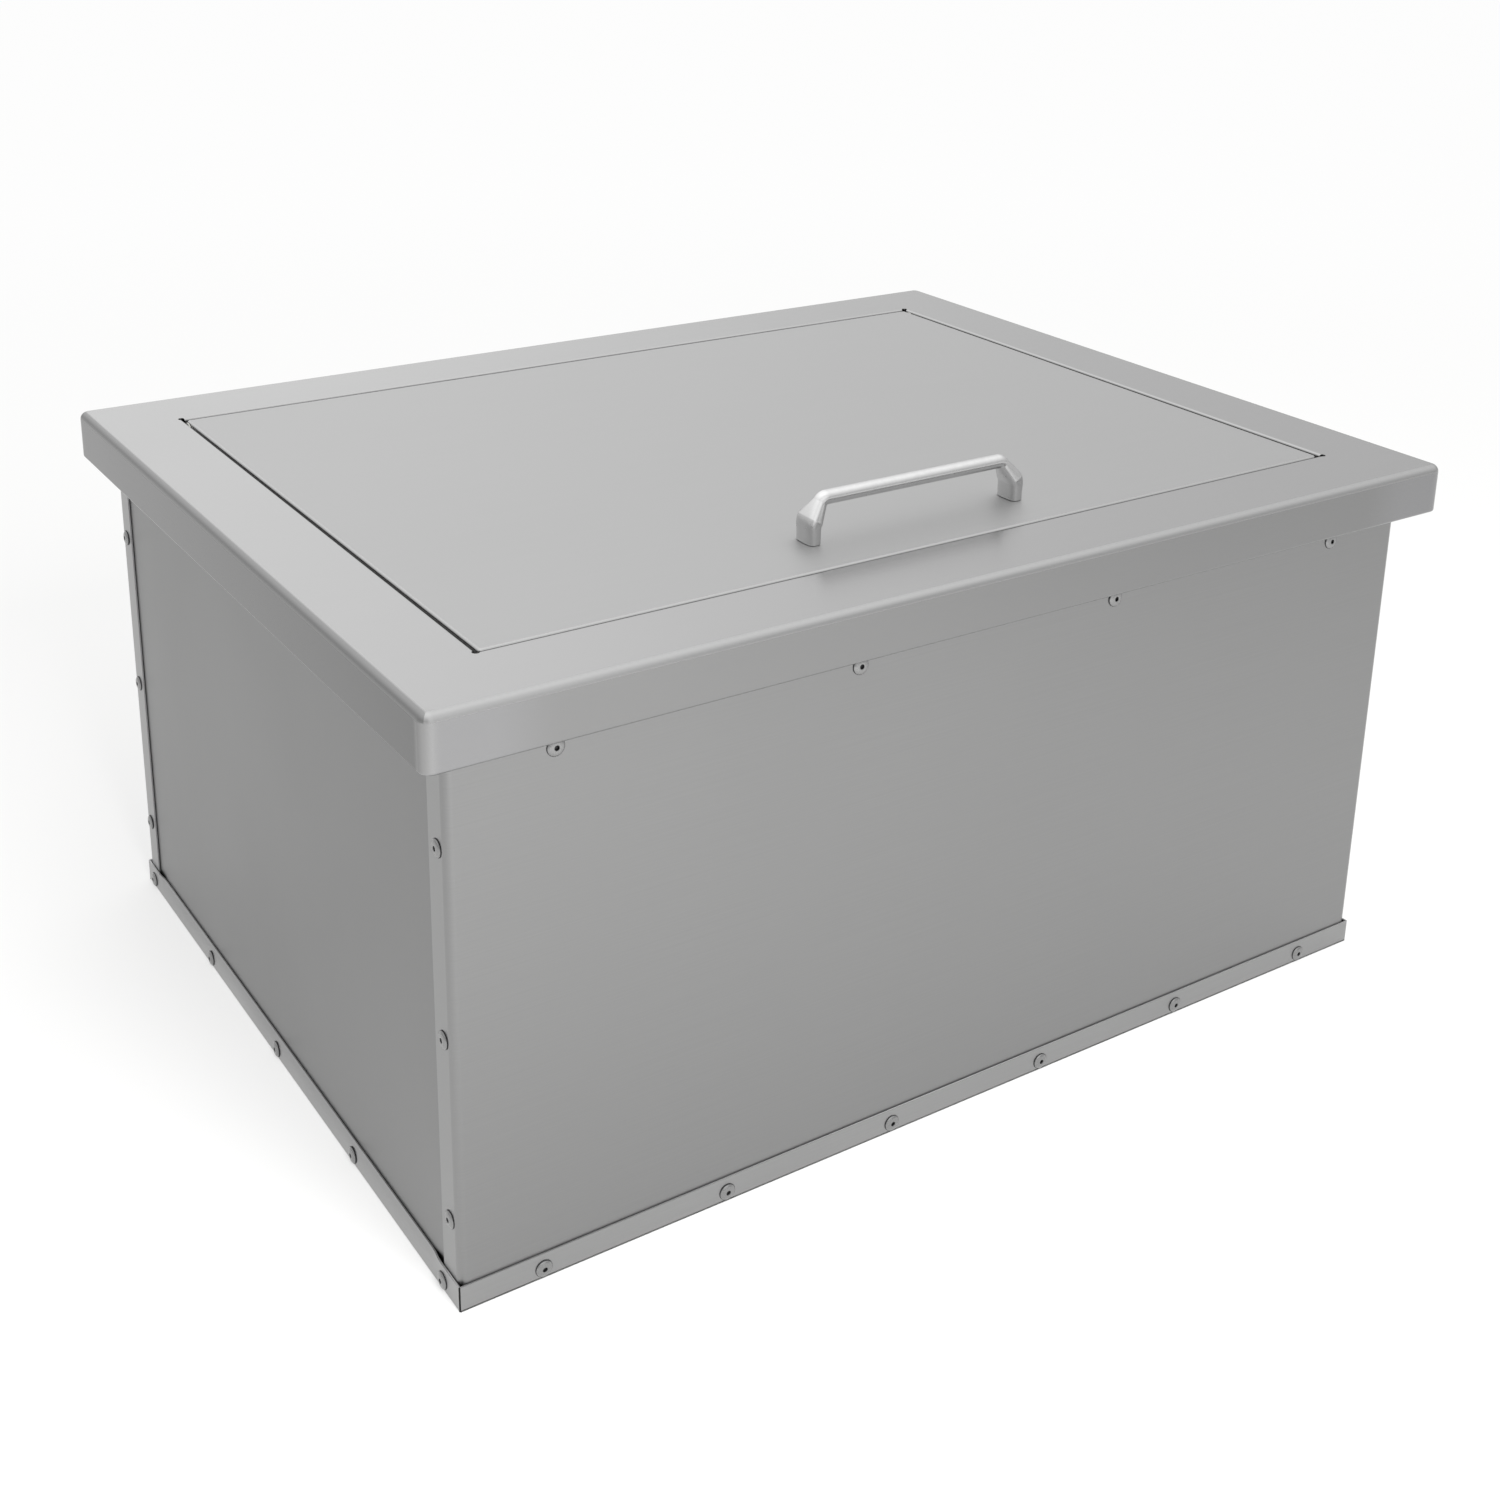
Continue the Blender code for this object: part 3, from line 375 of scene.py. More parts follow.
def thicken(piece, thickness):
    """Gives a sheet its thickness, behind its faces, and its edges the sheared finish."""
    piece.data.materials.append(edge_finish)
    wall = piece.modifiers.new("sheet", "SOLIDIFY")
    wall.material_offset_rim = 1
    wall.thickness = thickness
    wall.offset = -1
    wall.use_even_offset = True
    settle(piece)


# Every sheet's sheared edges get this finish, with its painted highlight.
edge_finish = sheared_steel("sheared_stainless_edge_highlight", SHEARED_EDGE_HIGHLIGHT, SHEARED_EDGE_HIGHLIGHT_BRIGHT)
pan_sheet = bmesh.new()
edges = (
    ((-PAN_X + PAN_SEAM, -PAN_Y), (PAN_X - PAN_SEAM, -PAN_Y)),
    ((PAN_X, -PAN_Y + PAN_SEAM), (PAN_X, PAN_Y - PAN_SEAM)),
    ((PAN_X - PAN_SEAM, PAN_Y), (-PAN_X + PAN_SEAM, PAN_Y)),
    ((-PAN_X, PAN_Y - PAN_SEAM), (-PAN_X, -PAN_Y + PAN_SEAM)),
)
base_corners = []
folds = []
for start, stop in edges:
    low = [pan_sheet.verts.new((*point, 0)) for point in (start, stop)]
    high = [pan_sheet.verts.new((*point, PAN_FLANGE)) for point in (start, stop)]
    pan_sheet.faces.new((low[0], low[1], high[1], high[0]))
    folds.append(pan_sheet.edges.get(low))
    base_corners += low
pan_sheet.faces.new(list(reversed(base_corners)))
bmesh.ops.bevel(pan_sheet, geom=folds, offset=PAN_FOLD, segments=FOLD_STEPS, profile=0.5, affect="EDGES")
scribed = [((0, side * y, 0), (0, 1, 0)) for side in (-1, 1) for y in DRAW_LINES]
scribed += [((0, 0, z), (0, 0, 1)) for z in DRAW_HEIGHTS]
for place, across in scribed:
    whole = pan_sheet.verts[:] + pan_sheet.edges[:] + pan_sheet.faces[:]
    bmesh.ops.bisect_plane(pan_sheet, geom=whole, plane_co=place, plane_no=across)
for vert in pan_sheet.verts:
    if abs(vert.co.x) > PAN_X - FLANGE_SKIN:
        along = min(max((DRAW_LINES[-1] - abs(vert.co.y)) / (DRAW_LINES[-1] - DRAW_LINES[0]), 0), 1)
        up = max((vert.co.z - DRAW_HEIGHTS[0]) / (PAN_FLANGE - DRAW_HEIGHTS[0]), 0)
        drawn_in = FLANGE_DRAW * along**2 * (3 - 2 * along) * up**2
        vert.co.x -= math.copysign(drawn_in, vert.co.x)
pan = new_piece("folded_bottom_pan", pan_sheet, brushed_steel("brushed_stainless_pan", marks=PAN_MARKS))
thicken(pan, SHEET)
# Painted shade: the faces at the open corner seams get a near-black finish, to darken the seams.
pan.data.materials.append(sheared_steel("painted_shade_seam_edge", SEAM_SHADE_STEEL, SEAM_SHADE_BRIGHT))
for face in pan.data.polygons:
    if abs(face.center.x) > PAN_X - 2 * SHEET and abs(face.center.y) > PAN_Y - 2 * SHEET:
        face.material_index = 2
cut(pan, drill([((0, 0, -SHEET), (0, 0, 3 * SHEET))], PAN_HOLE))
smooth_bends(pan)
lay_grain(pan)
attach(pan, "chest")
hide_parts("bottom_pan")

# Jacket
# Two flat side sheets, and a front and a back sheet whose ends return 18 mm round the corners over them.
# All are 0.9 mm brushed stainless, sheared and folded; the sides were cut with the grain upright. The side
# sheets are painted darker than the front and back, as painted shade.
PANEL_BASE = SHEET + FIT
PANEL_TOP = 0.321
PANEL_BEND = 0.0045
SIDE_PANEL_INSET = 0.0033
SIDE_PANEL_Y = BODY_Y - SIDE_PANEL_INSET
STRIP_WIDTH = 0.018
SIDE_PANEL_X = BODY_X - SHEET - FIT
BEND_STEPS = 10
JACKET_STEEL = "#8C8C8C"
BRIGHTER_JACKET_STEEL = "#8F8F8F"
# Painted shade: the side sheets' stainless, darker than the front and back sheets'.
SHADED_SIDE_STEEL = "#787878"
BRIGHTER_SHADED_SIDE_STEEL = "#7B7B7B"
JACKET_ROUGHNESS = 0.30


def arc(before, corner, after, radius, steps):
    """The corner of an outline as an arc that is tangent to both of its sides."""
    if not radius:
        return [corner]
    back = (before - corner).normalized()
    on = (after - corner).normalized()
    half_angle = back.angle(on) / 2
    reach = radius / math.tan(half_angle)
    centre = corner + (back + on).normalized() * (radius / math.sin(half_angle))
    start = corner + back * reach - centre
    end = corner + on * reach - centre
    turn = math.atan2(start.cross(end), start.dot(end))
    return [centre + Matrix.Rotation(turn * i / steps, 2) @ start for i in range(steps + 1)]


def rounded(outline, radii, steps=BEND_STEPS):
    """An open outline whose inner corners are arcs of the given radii."""
    points = [Vector(point) for point in outline]
    made = [points[0]]
    for before, corner, after, radius in zip(points, points[1:], points[2:], radii):
        made += arc(before, corner, after, radius, steps)
    return made + [points[-1]]


jacket_finish = brushed_steel(
    "brushed_stainless_jacket", JACKET_ROUGHNESS, JACKET_STEEL, BRIGHTER_JACKET_STEEL
)
# The side sheets' finish, darker as painted shade.
shaded_side_finish = brushed_steel("brushed_stainless_sides_painted_shade", JACKET_ROUGHNESS, SHADED_SIDE_STEEL, BRIGHTER_SHADED_SIDE_STEEL)
jacket = []
for side, where in ((-1, "front"), (1, "back")):
    return_y = side * (BODY_Y - STRIP_WIDTH)
    bend_y = side * BODY_Y
    corners = ((-BODY_X, return_y), (-BODY_X, bend_y), (BODY_X, bend_y), (BODY_X, return_y))
    jacket.append((where, rounded(corners[::-side], (PANEL_BEND, PANEL_BEND)), jacket_finish, 0))
for side, where in ((-1, "left"), (1, "right")):
    ends = [(side * SIDE_PANEL_X, side * -SIDE_PANEL_Y), (side * SIDE_PANEL_X, side * SIDE_PANEL_Y)]
    jacket.append((where, ends, shaded_side_finish, 2))
for where, outline, finish, grain in jacket:
    upright = bmesh.new()
    low = [upright.verts.new((*point, PANEL_BASE)) for point in outline]
    high = [upright.verts.new((*point, PANEL_TOP)) for point in outline]
    for i in range(len(outline) - 1):
        upright.faces.new((low[i], low[i + 1], high[i + 1], high[i]))
    panel = new_piece(f"{where}_jacket_sheet", upright, finish)
    thicken(panel, SHEET)
    smooth_bends(panel)
    lay_grain(panel, grain)
    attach(panel, "chest")
    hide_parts(f"{where}_panel")

# Blind rivets
# Domed 4.8 mm stainless blind rivets, pulled through the sheets from outside. The mandrel snaps off inside
# the head and leaves a small hole, painted dark as its shade. A thin ring at the head's edge is painted
# dark as the shadow round the head; the tail swells behind the sheets.
RIVET_HEAD_RADIUS = 0.00475
RIVET_HEAD = 0.0015
MANDREL_RADIUS = 0.0013
RIVET_SHANK = 0.0024
RIVET_TAIL_RADIUS = 0.0033
RIVET_TAIL = 0.0035
PAN_RIVET_HEIGHT = 0.0056
RIM_RIVET_HEIGHT = 0.2870
RIM_RIVET_REACH = 0.2574
PAN_RIVET_REACH = 0.2688
SIDE_RIVET_ENDS = (-0.2206, 0.2274)
STRIP_RIVET_ENDS = (0.047, 0.2476)
PAN_GRIP = 0.0024
SIDE_GRIP = 0.0036
STRIP_GRIP = 0.0024
RIM_GRIP = 0.0030
HEAD_STEPS = 33
SHANK_STEPS = 24
TAIL_STEPS = 25
RIVET_TILT = 0.02
HOLE_EDGE = 1.02
HEAD_EDGE = 0.95
SEAT_LIFT = 0.00002
SEAM_JOIN = 0.00001
FLECK_SHINE = 0.15
RIVET_STEEL = "#959595"
# Painted shade in the rivet holes and painted shadow round the heads.
RIVET_SHADE_STEEL = "#4A4A4B"


def spread(first, last, count):
    """Evenly spaced places from first to last."""
    return [first + (last - first) * i / (count - 1) for i in range(count)]


seats = []
for side in (-1, 1):
    for x in spread(-RIM_RIVET_REACH, RIM_RIVET_REACH, 4):
        seats.append(((x, side * BODY_Y, RIM_RIVET_HEIGHT), (0, side, 0), RIM_GRIP))
    for x in spread(-PAN_RIVET_REACH, PAN_RIVET_REACH, 6):
        seats.append(((x, side * PAN_Y, PAN_RIVET_HEIGHT), (0, side, 0), PAN_GRIP))
    for y in spread(*SIDE_RIVET_ENDS, 5):
        seats.append(((side * PAN_X, y, PAN_RIVET_HEIGHT), (side, 0, 0), SIDE_GRIP))
    for end in (-1, 1):
        for z in spread(*STRIP_RIVET_ENDS, 3):
            seats.append(((side * BODY_X, end * (BODY_Y - STRIP_WIDTH / 2), z), (side, 0, 0), STRIP_GRIP))


def sized_tree(name, sizes):
    """A Geometry Nodes tree with a named input for each size, and what comes in through them."""
    tree = bpy.data.node_groups.new(name, "GeometryNodeTree")
    tree.interface.new_socket("Geometry", in_out="INPUT", socket_type="NodeSocketGeometry")
    for size in sizes:
        kind = "NodeSocketInt" if size in ("Seed", "Count", "Turns") else "NodeSocketFloat"
        tree.interface.new_socket(size, in_out="INPUT", socket_type=kind)
    tree.interface.new_socket("Geometry", in_out="OUTPUT", socket_type="NodeSocketGeometry")
    return tree, add_node(tree, "NodeGroupInput").outputs


def finish_tree(tree, shape, *coats):
    """Ends a tree: real geometry in its finishes, each with what it covers."""
    shape = add_node(tree, "GeometryNodeRealizeInstances", {"Geometry": shape})
    for finish, covers in coats:
        shape = add_node(
            tree, "GeometryNodeSetMaterial", {"Geometry": shape, "Selection": covers, "Material": finish}
        )
    add_node(tree, "NodeGroupOutput", {"Geometry": shape})
    return tree


def grow(piece, tree, sizes):
    """Runs a tree on a piece with these sizes, and makes the result its mesh."""
    nodes = piece.modifiers.new(tree.name, "NODES")
    nodes.node_group = tree
    for item in tree.interface.items_tree:
        if item.in_out == "INPUT" and item.name in sizes:
            nodes[item.identifier] = sizes[item.name]
    settle(piece)


def turned_grid(tree, steps, radius_curve, height_curve, radius, height):
    """A profile spun round Z: a grid rolled up, with its radius and height read off two curves."""
    grid = add_node(
        tree,
        "GeometryNodeMeshGrid",
        {"Size X": 1.0, "Size Y": 1.0, "Vertices X": steps, "Vertices Y": len(radius_curve)},
    )
    place = add_node(tree, "GeometryNodeInputPosition")
    parts = add_node(tree, "ShaderNodeSeparateXYZ", {0: place}).outputs
    turn = add_node(tree, "ShaderNodeMath", {0: parts["X"], 1: 0.5}, operation="ADD")
    angle = add_node(tree, "ShaderNodeMath", {0: turn, 1: math.tau}, operation="MULTIPLY")
    share = add_node(tree, "ShaderNodeMath", {0: parts["Y"], 1: 0.5}, operation="ADD")
    read = []
    for values, size in ((radius_curve, radius), (height_curve, height)):
        curve = add_node(tree, "ShaderNodeFloatCurve", {"Value": share})
        points = curve.mapping.curves[0].points
        while len(points) < len(values):
            points.new(0.5, 0.5)
        for i, value in enumerate(values):
            points[i].location = (i / (len(values) - 1), value)
            points[i].handle_type = "VECTOR"
        curve.mapping.use_clip = False
        curve.mapping.update()
        read.append(add_node(tree, "ShaderNodeMath", {0: curve, 1: size}, operation="MULTIPLY"))
    sides = []
    for operation in ("COSINE", "SINE"):
        swing = add_node(tree, "ShaderNodeMath", {0: angle}, operation=operation)
        sides.append(add_node(tree, "ShaderNodeMath", {0: swing, 1: read[0]}, operation="MULTIPLY"))
    point = add_node(tree, "ShaderNodeCombineXYZ", {"X": sides[0], "Y": sides[1], "Z": read[1]})
    rolled = add_node(tree, "GeometryNodeSetPosition", {"Geometry": grid, "Position": point})
    return add_node(tree, "GeometryNodeMergeByDistance", {"Geometry": rolled, "Distance": SEAM_JOIN})


def rivet_tree(finish, dark_finish, sizes):
    """Sets a rivet on each point: a head, a shank as long as the sheets are thick, and a tail."""
    tree, given = sized_tree("blind_rivets", sizes)
    mandrel = MANDREL_RADIUS / RIVET_HEAD_RADIUS
    head = turned_grid(
        tree,
        HEAD_STEPS,
        (0.0, mandrel, mandrel, mandrel * 1.1, 0.42, 0.56, 0.69, 0.80, 0.89, 0.95, 0.98, 1.0, 0.96, 0.50),
        (0.15, 0.15, 0.93, 1.0, 0.985, 0.93, 0.83, 0.68, 0.50, 0.33, 0.20, 0.14, 0.0, 0.0),
        given["Head Radius"],
        given["Head Height"],
    )
    # Painted shade: faces in the mandrel hole and in a thin ring at the head's edge are marked dark, for the
    # dark finish.
    spot = add_node(tree, "GeometryNodeInputPosition")
    flat = add_node(tree, "ShaderNodeVectorMath", {0: spot, 1: (1.0, 1.0, 0.0)}, operation="MULTIPLY")
    out = add_node(tree, "ShaderNodeVectorMath", {0: flat}, operation="LENGTH")
    share = add_node(tree, "ShaderNodeMath", {0: out, 1: given["Head Radius"]}, operation="DIVIDE")
    in_hole = add_node(tree, "ShaderNodeMath", {0: share, 1: mandrel * HOLE_EDGE}, operation="LESS_THAN")
    at_edge = add_node(tree, "ShaderNodeMath", {0: share, 1: HEAD_EDGE}, operation="GREATER_THAN")
    dark = add_node(tree, "ShaderNodeMath", {0: in_hole, 1: at_edge}, operation="ADD")
    head = add_node(
        tree,
        "GeometryNodeStoreNamedAttribute",
        {"Geometry": head, "Name": "dark", "Value": dark},
        data_type="BOOLEAN",
        domain="FACE",
    )
    shank = add_node(
        tree,
        "GeometryNodeMeshCylinder",
        {"Vertices": SHANK_STEPS, "Radius": given["Shank Radius"], "Depth": 1.0},
        fill_type="NONE",
    )
    shank = add_node(tree, "GeometryNodeTransform", {"Geometry": shank, "Translation": (0.0, 0.0, -0.5)})
    tail = turned_grid(
        tree,
        TAIL_STEPS,
        (0.70, 0.95, 1.0, 0.95, 0.72, 0.40, 0.0),
        (0.0, -0.12, -0.4, -0.68, -0.92, -1.0, -1.0),
        given["Tail Radius"],
        given["Tail Length"],
    )
    facing = add_node(tree, "GeometryNodeInputNamedAttribute", {"Name": "facing"}, data_type="FLOAT_VECTOR")
    grip = add_node(tree, "GeometryNodeInputNamedAttribute", {"Name": "grip"}, data_type="FLOAT")
    outward = add_node(tree, "FunctionNodeAlignRotationToVector", {"Vector": facing}, axis="Z")
    tilts = {"Min": (-RIVET_TILT, -RIVET_TILT, 0.0), "Max": (RIVET_TILT, RIVET_TILT, math.tau)}
    roll = add_node(
        tree, "FunctionNodeRandomValue", {**tilts, "Seed": given["Seed"]}, data_type="FLOAT_VECTOR"
    )
    rolled = add_node(
        tree, "FunctionNodeRotateRotation", {"Rotation": outward, "Rotate By": roll}, rotation_space="LOCAL"
    )
    stretch = add_node(tree, "ShaderNodeCombineXYZ", {"X": 1.0, "Y": 1.0, "Z": grip})
    back = add_node(tree, "ShaderNodeMath", {0: grip, 1: -1.0}, operation="MULTIPLY")
    behind = add_node(tree, "ShaderNodeCombineXYZ", {"Z": back})
    whole = (1.0, 1.0, 1.0)
    heads, shanks, tails = [
        add_node(
            tree,
            "GeometryNodeInstanceOnPoints",
            {"Points": given["Geometry"], "Instance": part, "Rotation": turn, "Scale": scale},
        )
        for part, turn, scale in ((head, rolled, whole), (shank, outward, stretch), (tail, outward, whole))
    ]
    moved = {"Instances": tails, "Translation": behind, "Local Space": True}
    tails = add_node(tree, "GeometryNodeTranslateInstances", moved)
    joined = add_node(tree, "GeometryNodeJoinGeometry", {0: [shanks, tails, heads]})
    darkened = add_node(tree, "GeometryNodeInputNamedAttribute", {"Name": "dark"}, data_type="BOOLEAN")
    return finish_tree(tree, joined, (finish, True), (dark_finish, darkened))


def bright_steel(name, colour, fleck, roughness, fleck_size, fleck_depth):
    """Stainless without a grain: tumbled, turned or buffed, by its roughness and the size of its flecks."""
    made, tree, place = new_finish(name)
    fine = {"Scale": 1 / fleck_size, "Detail": 3.0, "Roughness": 0.6}
    flecks = add_node(tree, "ShaderNodeTexNoise", {"Vector": place, **fine})
    shine = {"To Min": roughness * (1 - FLECK_SHINE), "To Max": roughness * (1 + FLECK_SHINE)}
    gloss = add_node(tree, "ShaderNodeMapRange", {"Value": flecks, **NOISE_SPAN, **shine})
    dents = {"Strength": 0.4, "Distance": fleck_depth, "Height": flecks}
    return end_finish(made, flecks, colour, fleck, dents, {"Metallic": 1.0, "Roughness": gloss})


rivet_finish = bright_steel(
    "tumbled_stainless_rivet", RIVET_STEEL, "#8D8D8D", roughness=0.28, fleck_size=0.0012, fleck_depth=0.00004
)
# Painted shade in the rivets' holes and a painted shadow round their heads.
rivet_shade_finish = bright_steel(
    "oxidised_mandrel_steel", RIVET_SHADE_STEEL, "#5A5A5B", roughness=0.6, fleck_size=0.0008, fleck_depth=0.00005
)
seat_points = bpy.data.meshes.new("rivet_seats")
seat_points.from_pydata([Vector(seat) + Vector(facing) * SEAT_LIFT for seat, facing, _ in seats], [], [])
seat_points.attributes.new("facing", "FLOAT_VECTOR", "POINT")
seat_points.attributes.new("grip", "FLOAT", "POINT")
for i, (_, facing, grip) in enumerate(seats):
    seat_points.attributes["facing"].data[i].vector = facing
    seat_points.attributes["grip"].data[i].value = grip
rivets = new_piece("set_blind_rivets", seat_points, rivet_finish)
rivet_sizes = {
    "Head Radius": RIVET_HEAD_RADIUS,
    "Head Height": RIVET_HEAD,
    "Shank Radius": RIVET_SHANK,
    "Tail Radius": RIVET_TAIL_RADIUS,
    "Tail Length": RIVET_TAIL,
    "Seed": 7,
}
grow(rivets, rivet_tree(rivet_finish, rivet_shade_finish, rivet_sizes), rivet_sizes)
rivets.data.attributes.remove(rivets.data.attributes["dark"])
shade(rivets, 50)
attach(rivets, "chest")
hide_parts(*[name for name in NODES if "_rivet_" in name])

# Rim
# One frame of 1.2 mm brushed stainless: a safe-edge hem, the skirt, the wide flat face, the throat down
# into the opening and the ledge that the lid closes on. The skirt's corners are welded and ground round,
# and a relief hole is left at each corner of the opening. The skirt is painted darker than the face, and
# its two sides darker still, as painted shade; its round corners and its outer bends are painted lighter
# than the skirt, as painted highlights.
RIM_SHEET = 0.0012
RIM_FACE = 0.0495
RIM_DROP = 0.0292
RIM_HEM = 0.010
RIM_BEND = 0.0045
RIM_CORNER = 0.006
THROAT_BEND = 0.0015
SMALL_BEND_STEPS = 8
LEDGE_WIDTH = 0.018
LEDGE_TOP = 0.306
OPEN_X = HALF_X - RIM_FACE
OPEN_Y = HALF_Y - RIM_FACE
RELIEF_RADIUS = 0.002
SMALL_HOLE_STEPS = 24
WELD_DRESSING = 0.030
WELD_BLEND = 0.040
CORNER_BLEND = (1.6, 0.2)
DRESSED_STEEL = "#929293"
# Painted highlight down the skirt's round corners.
CORNER_HIGHLIGHT_STEEL = "#9C9C9C"
DRESSED_ROUGHER = 0.03
RIM_STEEL = "#A5A5A5"
BRIGHTER_RIM_STEEL = "#A8A8A8"
RIM_ROUGHNESS = 0.22
# Painted shade: the skirt darker than the face, and its two sides darker still.
SHADED_SKIRT_STEEL = "#8A8A8A"
SHADED_SIDE_SKIRT_STEEL = "#696969"
# Painted highlight along the rim's outer bends, lighter than the painted shade on the skirt.
RIM_BEND_HIGHLIGHT = "#A6A6A6"
RIM_SIDE_BEND_HIGHLIGHT = "#868686"
RIM_BEND_ROUGHNESS = 0.33
BEND_TONE_START = 0.3
BEND_TONE_FADE = 0.8
PIVOT_Y = 0.1983
PIVOT_Z = 0.3211
PIN_RADIUS = 0.0025
CORNER_STEPS = 8


def ring(half_x, half_y, radius, height, steps=CORNER_STEPS):
    """A rounded rectangle, anticlockwise seen from above."""
    points = []
    for quarter, (side_x, side_y) in enumerate(((1, -1), (1, 1), (-1, 1), (-1, -1))):
        centre = Vector((side_x * (half_x - radius), side_y * (half_y - radius), height))
        for i in range(steps + 1):
            angle = math.radians(90) * (quarter - 1 + i / steps)
            points.append(centre + radius * Vector((math.cos(angle), math.sin(angle), 0)))
    return points


def frame_rings(half_x, half_y, profile, corner, least_corner, steps=CORNER_STEPS):
    """Rings for a profile of inset and height that runs round a rectangle, with concentric corners."""
    return [
        ring(half_x - inset, half_y - inset, max(corner - inset, least_corner), height, steps)
        for inset, height in profile
    ]


def loft(rings, close_first=False, close_last=False):
    """A skin over rings of equally many points. Its faces point up where the rings step inwards."""
    shape = bmesh.new()
    loops = [[shape.verts.new(point) for point in points] for points in rings]
    for one, other in zip(loops, loops[1:]):
        for i, vert in enumerate(one):
            j = (i + 1) % len(one)
            shape.faces.new((vert, one[j], other[j], other[i]))
    if close_first:
        shape.faces.new(list(reversed(loops[0])))
    if close_last:
        shape.faces.new(loops[-1])
    return shape


def paint_skirt_shade_and_welds(finish):
    """Paints the skirt: its front and back darker than the face, and its two sides darker still, as painted
    shade; lighter and duller near its corners, where the welds were ground off and brushed again by hand;
    and lighter down its round corners, as a painted highlight."""
    tree = finish.node_tree
    shader = tree.nodes["Principled BSDF"]
    place = add_node(tree, "ShaderNodeTexCoord").outputs["Object"]
    parts = add_node(tree, "ShaderNodeSeparateXYZ", {0: place}).outputs
    sideways, endways = [
        add_node(tree, "ShaderNodeMath", {0: parts[axis]}, operation="ABSOLUTE") for axis in ("X", "Y")
    ]
    welds = HALF_X - WELD_DRESSING
    wide, tight = [RIM_CORNER * part for part in CORNER_BLEND]
    near, round_x, round_y = [
        add_node(
            tree,
            "ShaderNodeMapRange",
            {"Value": reach, "From Min": first, "From Max": last},
            interpolation_type="SMOOTHSTEP",
        )
        for reach, first, last in (
            (sideways, welds - WELD_BLEND, welds),
            (sideways, HALF_X - wide, HALF_X - tight),
            (endways, HALF_Y - wide, HALF_Y - tight),
        )
    ]
    on_skirt, on_side = [
        add_node(tree, "ShaderNodeMath", {0: reach, 1: half - RIM_BEND / 2}, operation="GREATER_THAN")
        for reach, half in ((endways, HALF_Y), (sideways, HALF_X))
    ]
    dressed, at_corner = [
        add_node(tree, "ShaderNodeMath", {0: one, 1: other}, operation="MULTIPLY")
        for one, other in ((near, on_skirt), (round_x, round_y))
    ]
    duller = add_node(tree, "ShaderNodeMath", {0: dressed, 1: DRESSED_ROUGHER}, operation="MULTIPLY")
    was_rough = shader.inputs["Roughness"].links[0].from_socket
    gloss = add_node(tree, "ShaderNodeMath", {0: was_rough, 1: duller}, operation="ADD")
    colours = shader.inputs["Base Color"].links[0].from_socket
    # Painted shade on the skirt and its sides, and a painted highlight down its round corners.
    for share, colour in (
        (on_skirt, SHADED_SKIRT_STEEL),
        (dressed, DRESSED_STEEL),
        (on_side, SHADED_SIDE_SKIRT_STEEL),
        (at_corner, CORNER_HIGHLIGHT_STEEL),
    ):
        mix = {"Factor": share, "A": colours, "B": linear(colour)}
        colours = add_node(tree, "ShaderNodeMix", mix, data_type="RGBA")
    tree.links.new(colours.outputs["Result"], shader.inputs["Base Color"])
    tree.links.new(gloss.outputs[0], shader.inputs["Roughness"])


def tone_outer_bends(finish, colour, side_colour, roughness, half_x, half_y, top, bend):
    """Gives the outer bends of a rectangular piece their own colour and roughness. On the rim the colour is a
    painted highlight along the bends, lighter than the painted shade on the skirt; on the lid it is a little
    darker, and the bends are smoother.
    """
    tree = finish.node_tree
    shader = tree.nodes["Principled BSDF"]
    place = add_node(tree, "ShaderNodeTexCoord").outputs["Object"]
    parts = add_node(tree, "ShaderNodeSeparateXYZ", {0: place}).outputs
    reaches = []
    for axis, half in (("X", half_x), ("Y", half_y)):
        outward = add_node(tree, "ShaderNodeMath", {0: parts[axis]}, operation="ABSOLUTE")
        reaches.append(add_node(tree, "ShaderNodeMath", {0: outward, 1: half - bend}, operation="SUBTRACT"))
    reach, on_side = [
        add_node(tree, "ShaderNodeMath", {0: reaches[0], 1: reaches[1]}, operation=operation)
        for operation in ("MAXIMUM", "GREATER_THAN")
    ]
    mix = {"Factor": on_side, "A": linear(colour), "B": linear(side_colour)}
    bright = add_node(tree, "ShaderNodeMix", mix, data_type="RGBA")
    on_bend, high = [
        add_node(
            tree,
            "ShaderNodeMapRange",
            {"Value": value, "From Min": first, "From Max": last},
            interpolation_type="SMOOTHSTEP",
        )
        for value, first, last in (
            (reach, 0.0, bend * BEND_TONE_START),
            (parts["Z"], top - bend, top - bend * BEND_TONE_FADE),
        )
    ]
    # The share of each bend that gets its own colour: a painted highlight on the rim.
    bend_share = add_node(tree, "ShaderNodeMath", {0: on_bend, 1: high}, operation="MULTIPLY")
    for socket, rub, kind in (("Base Color", bright, "RGBA"), ("Roughness", roughness, "FLOAT")):
        was = shader.inputs[socket].links[0].from_socket
        now = add_node(tree, "ShaderNodeMix", {"Factor": bend_share, "A": was, "B": rub}, data_type=kind)
        tree.links.new(now.outputs["Result"], shader.inputs[socket])


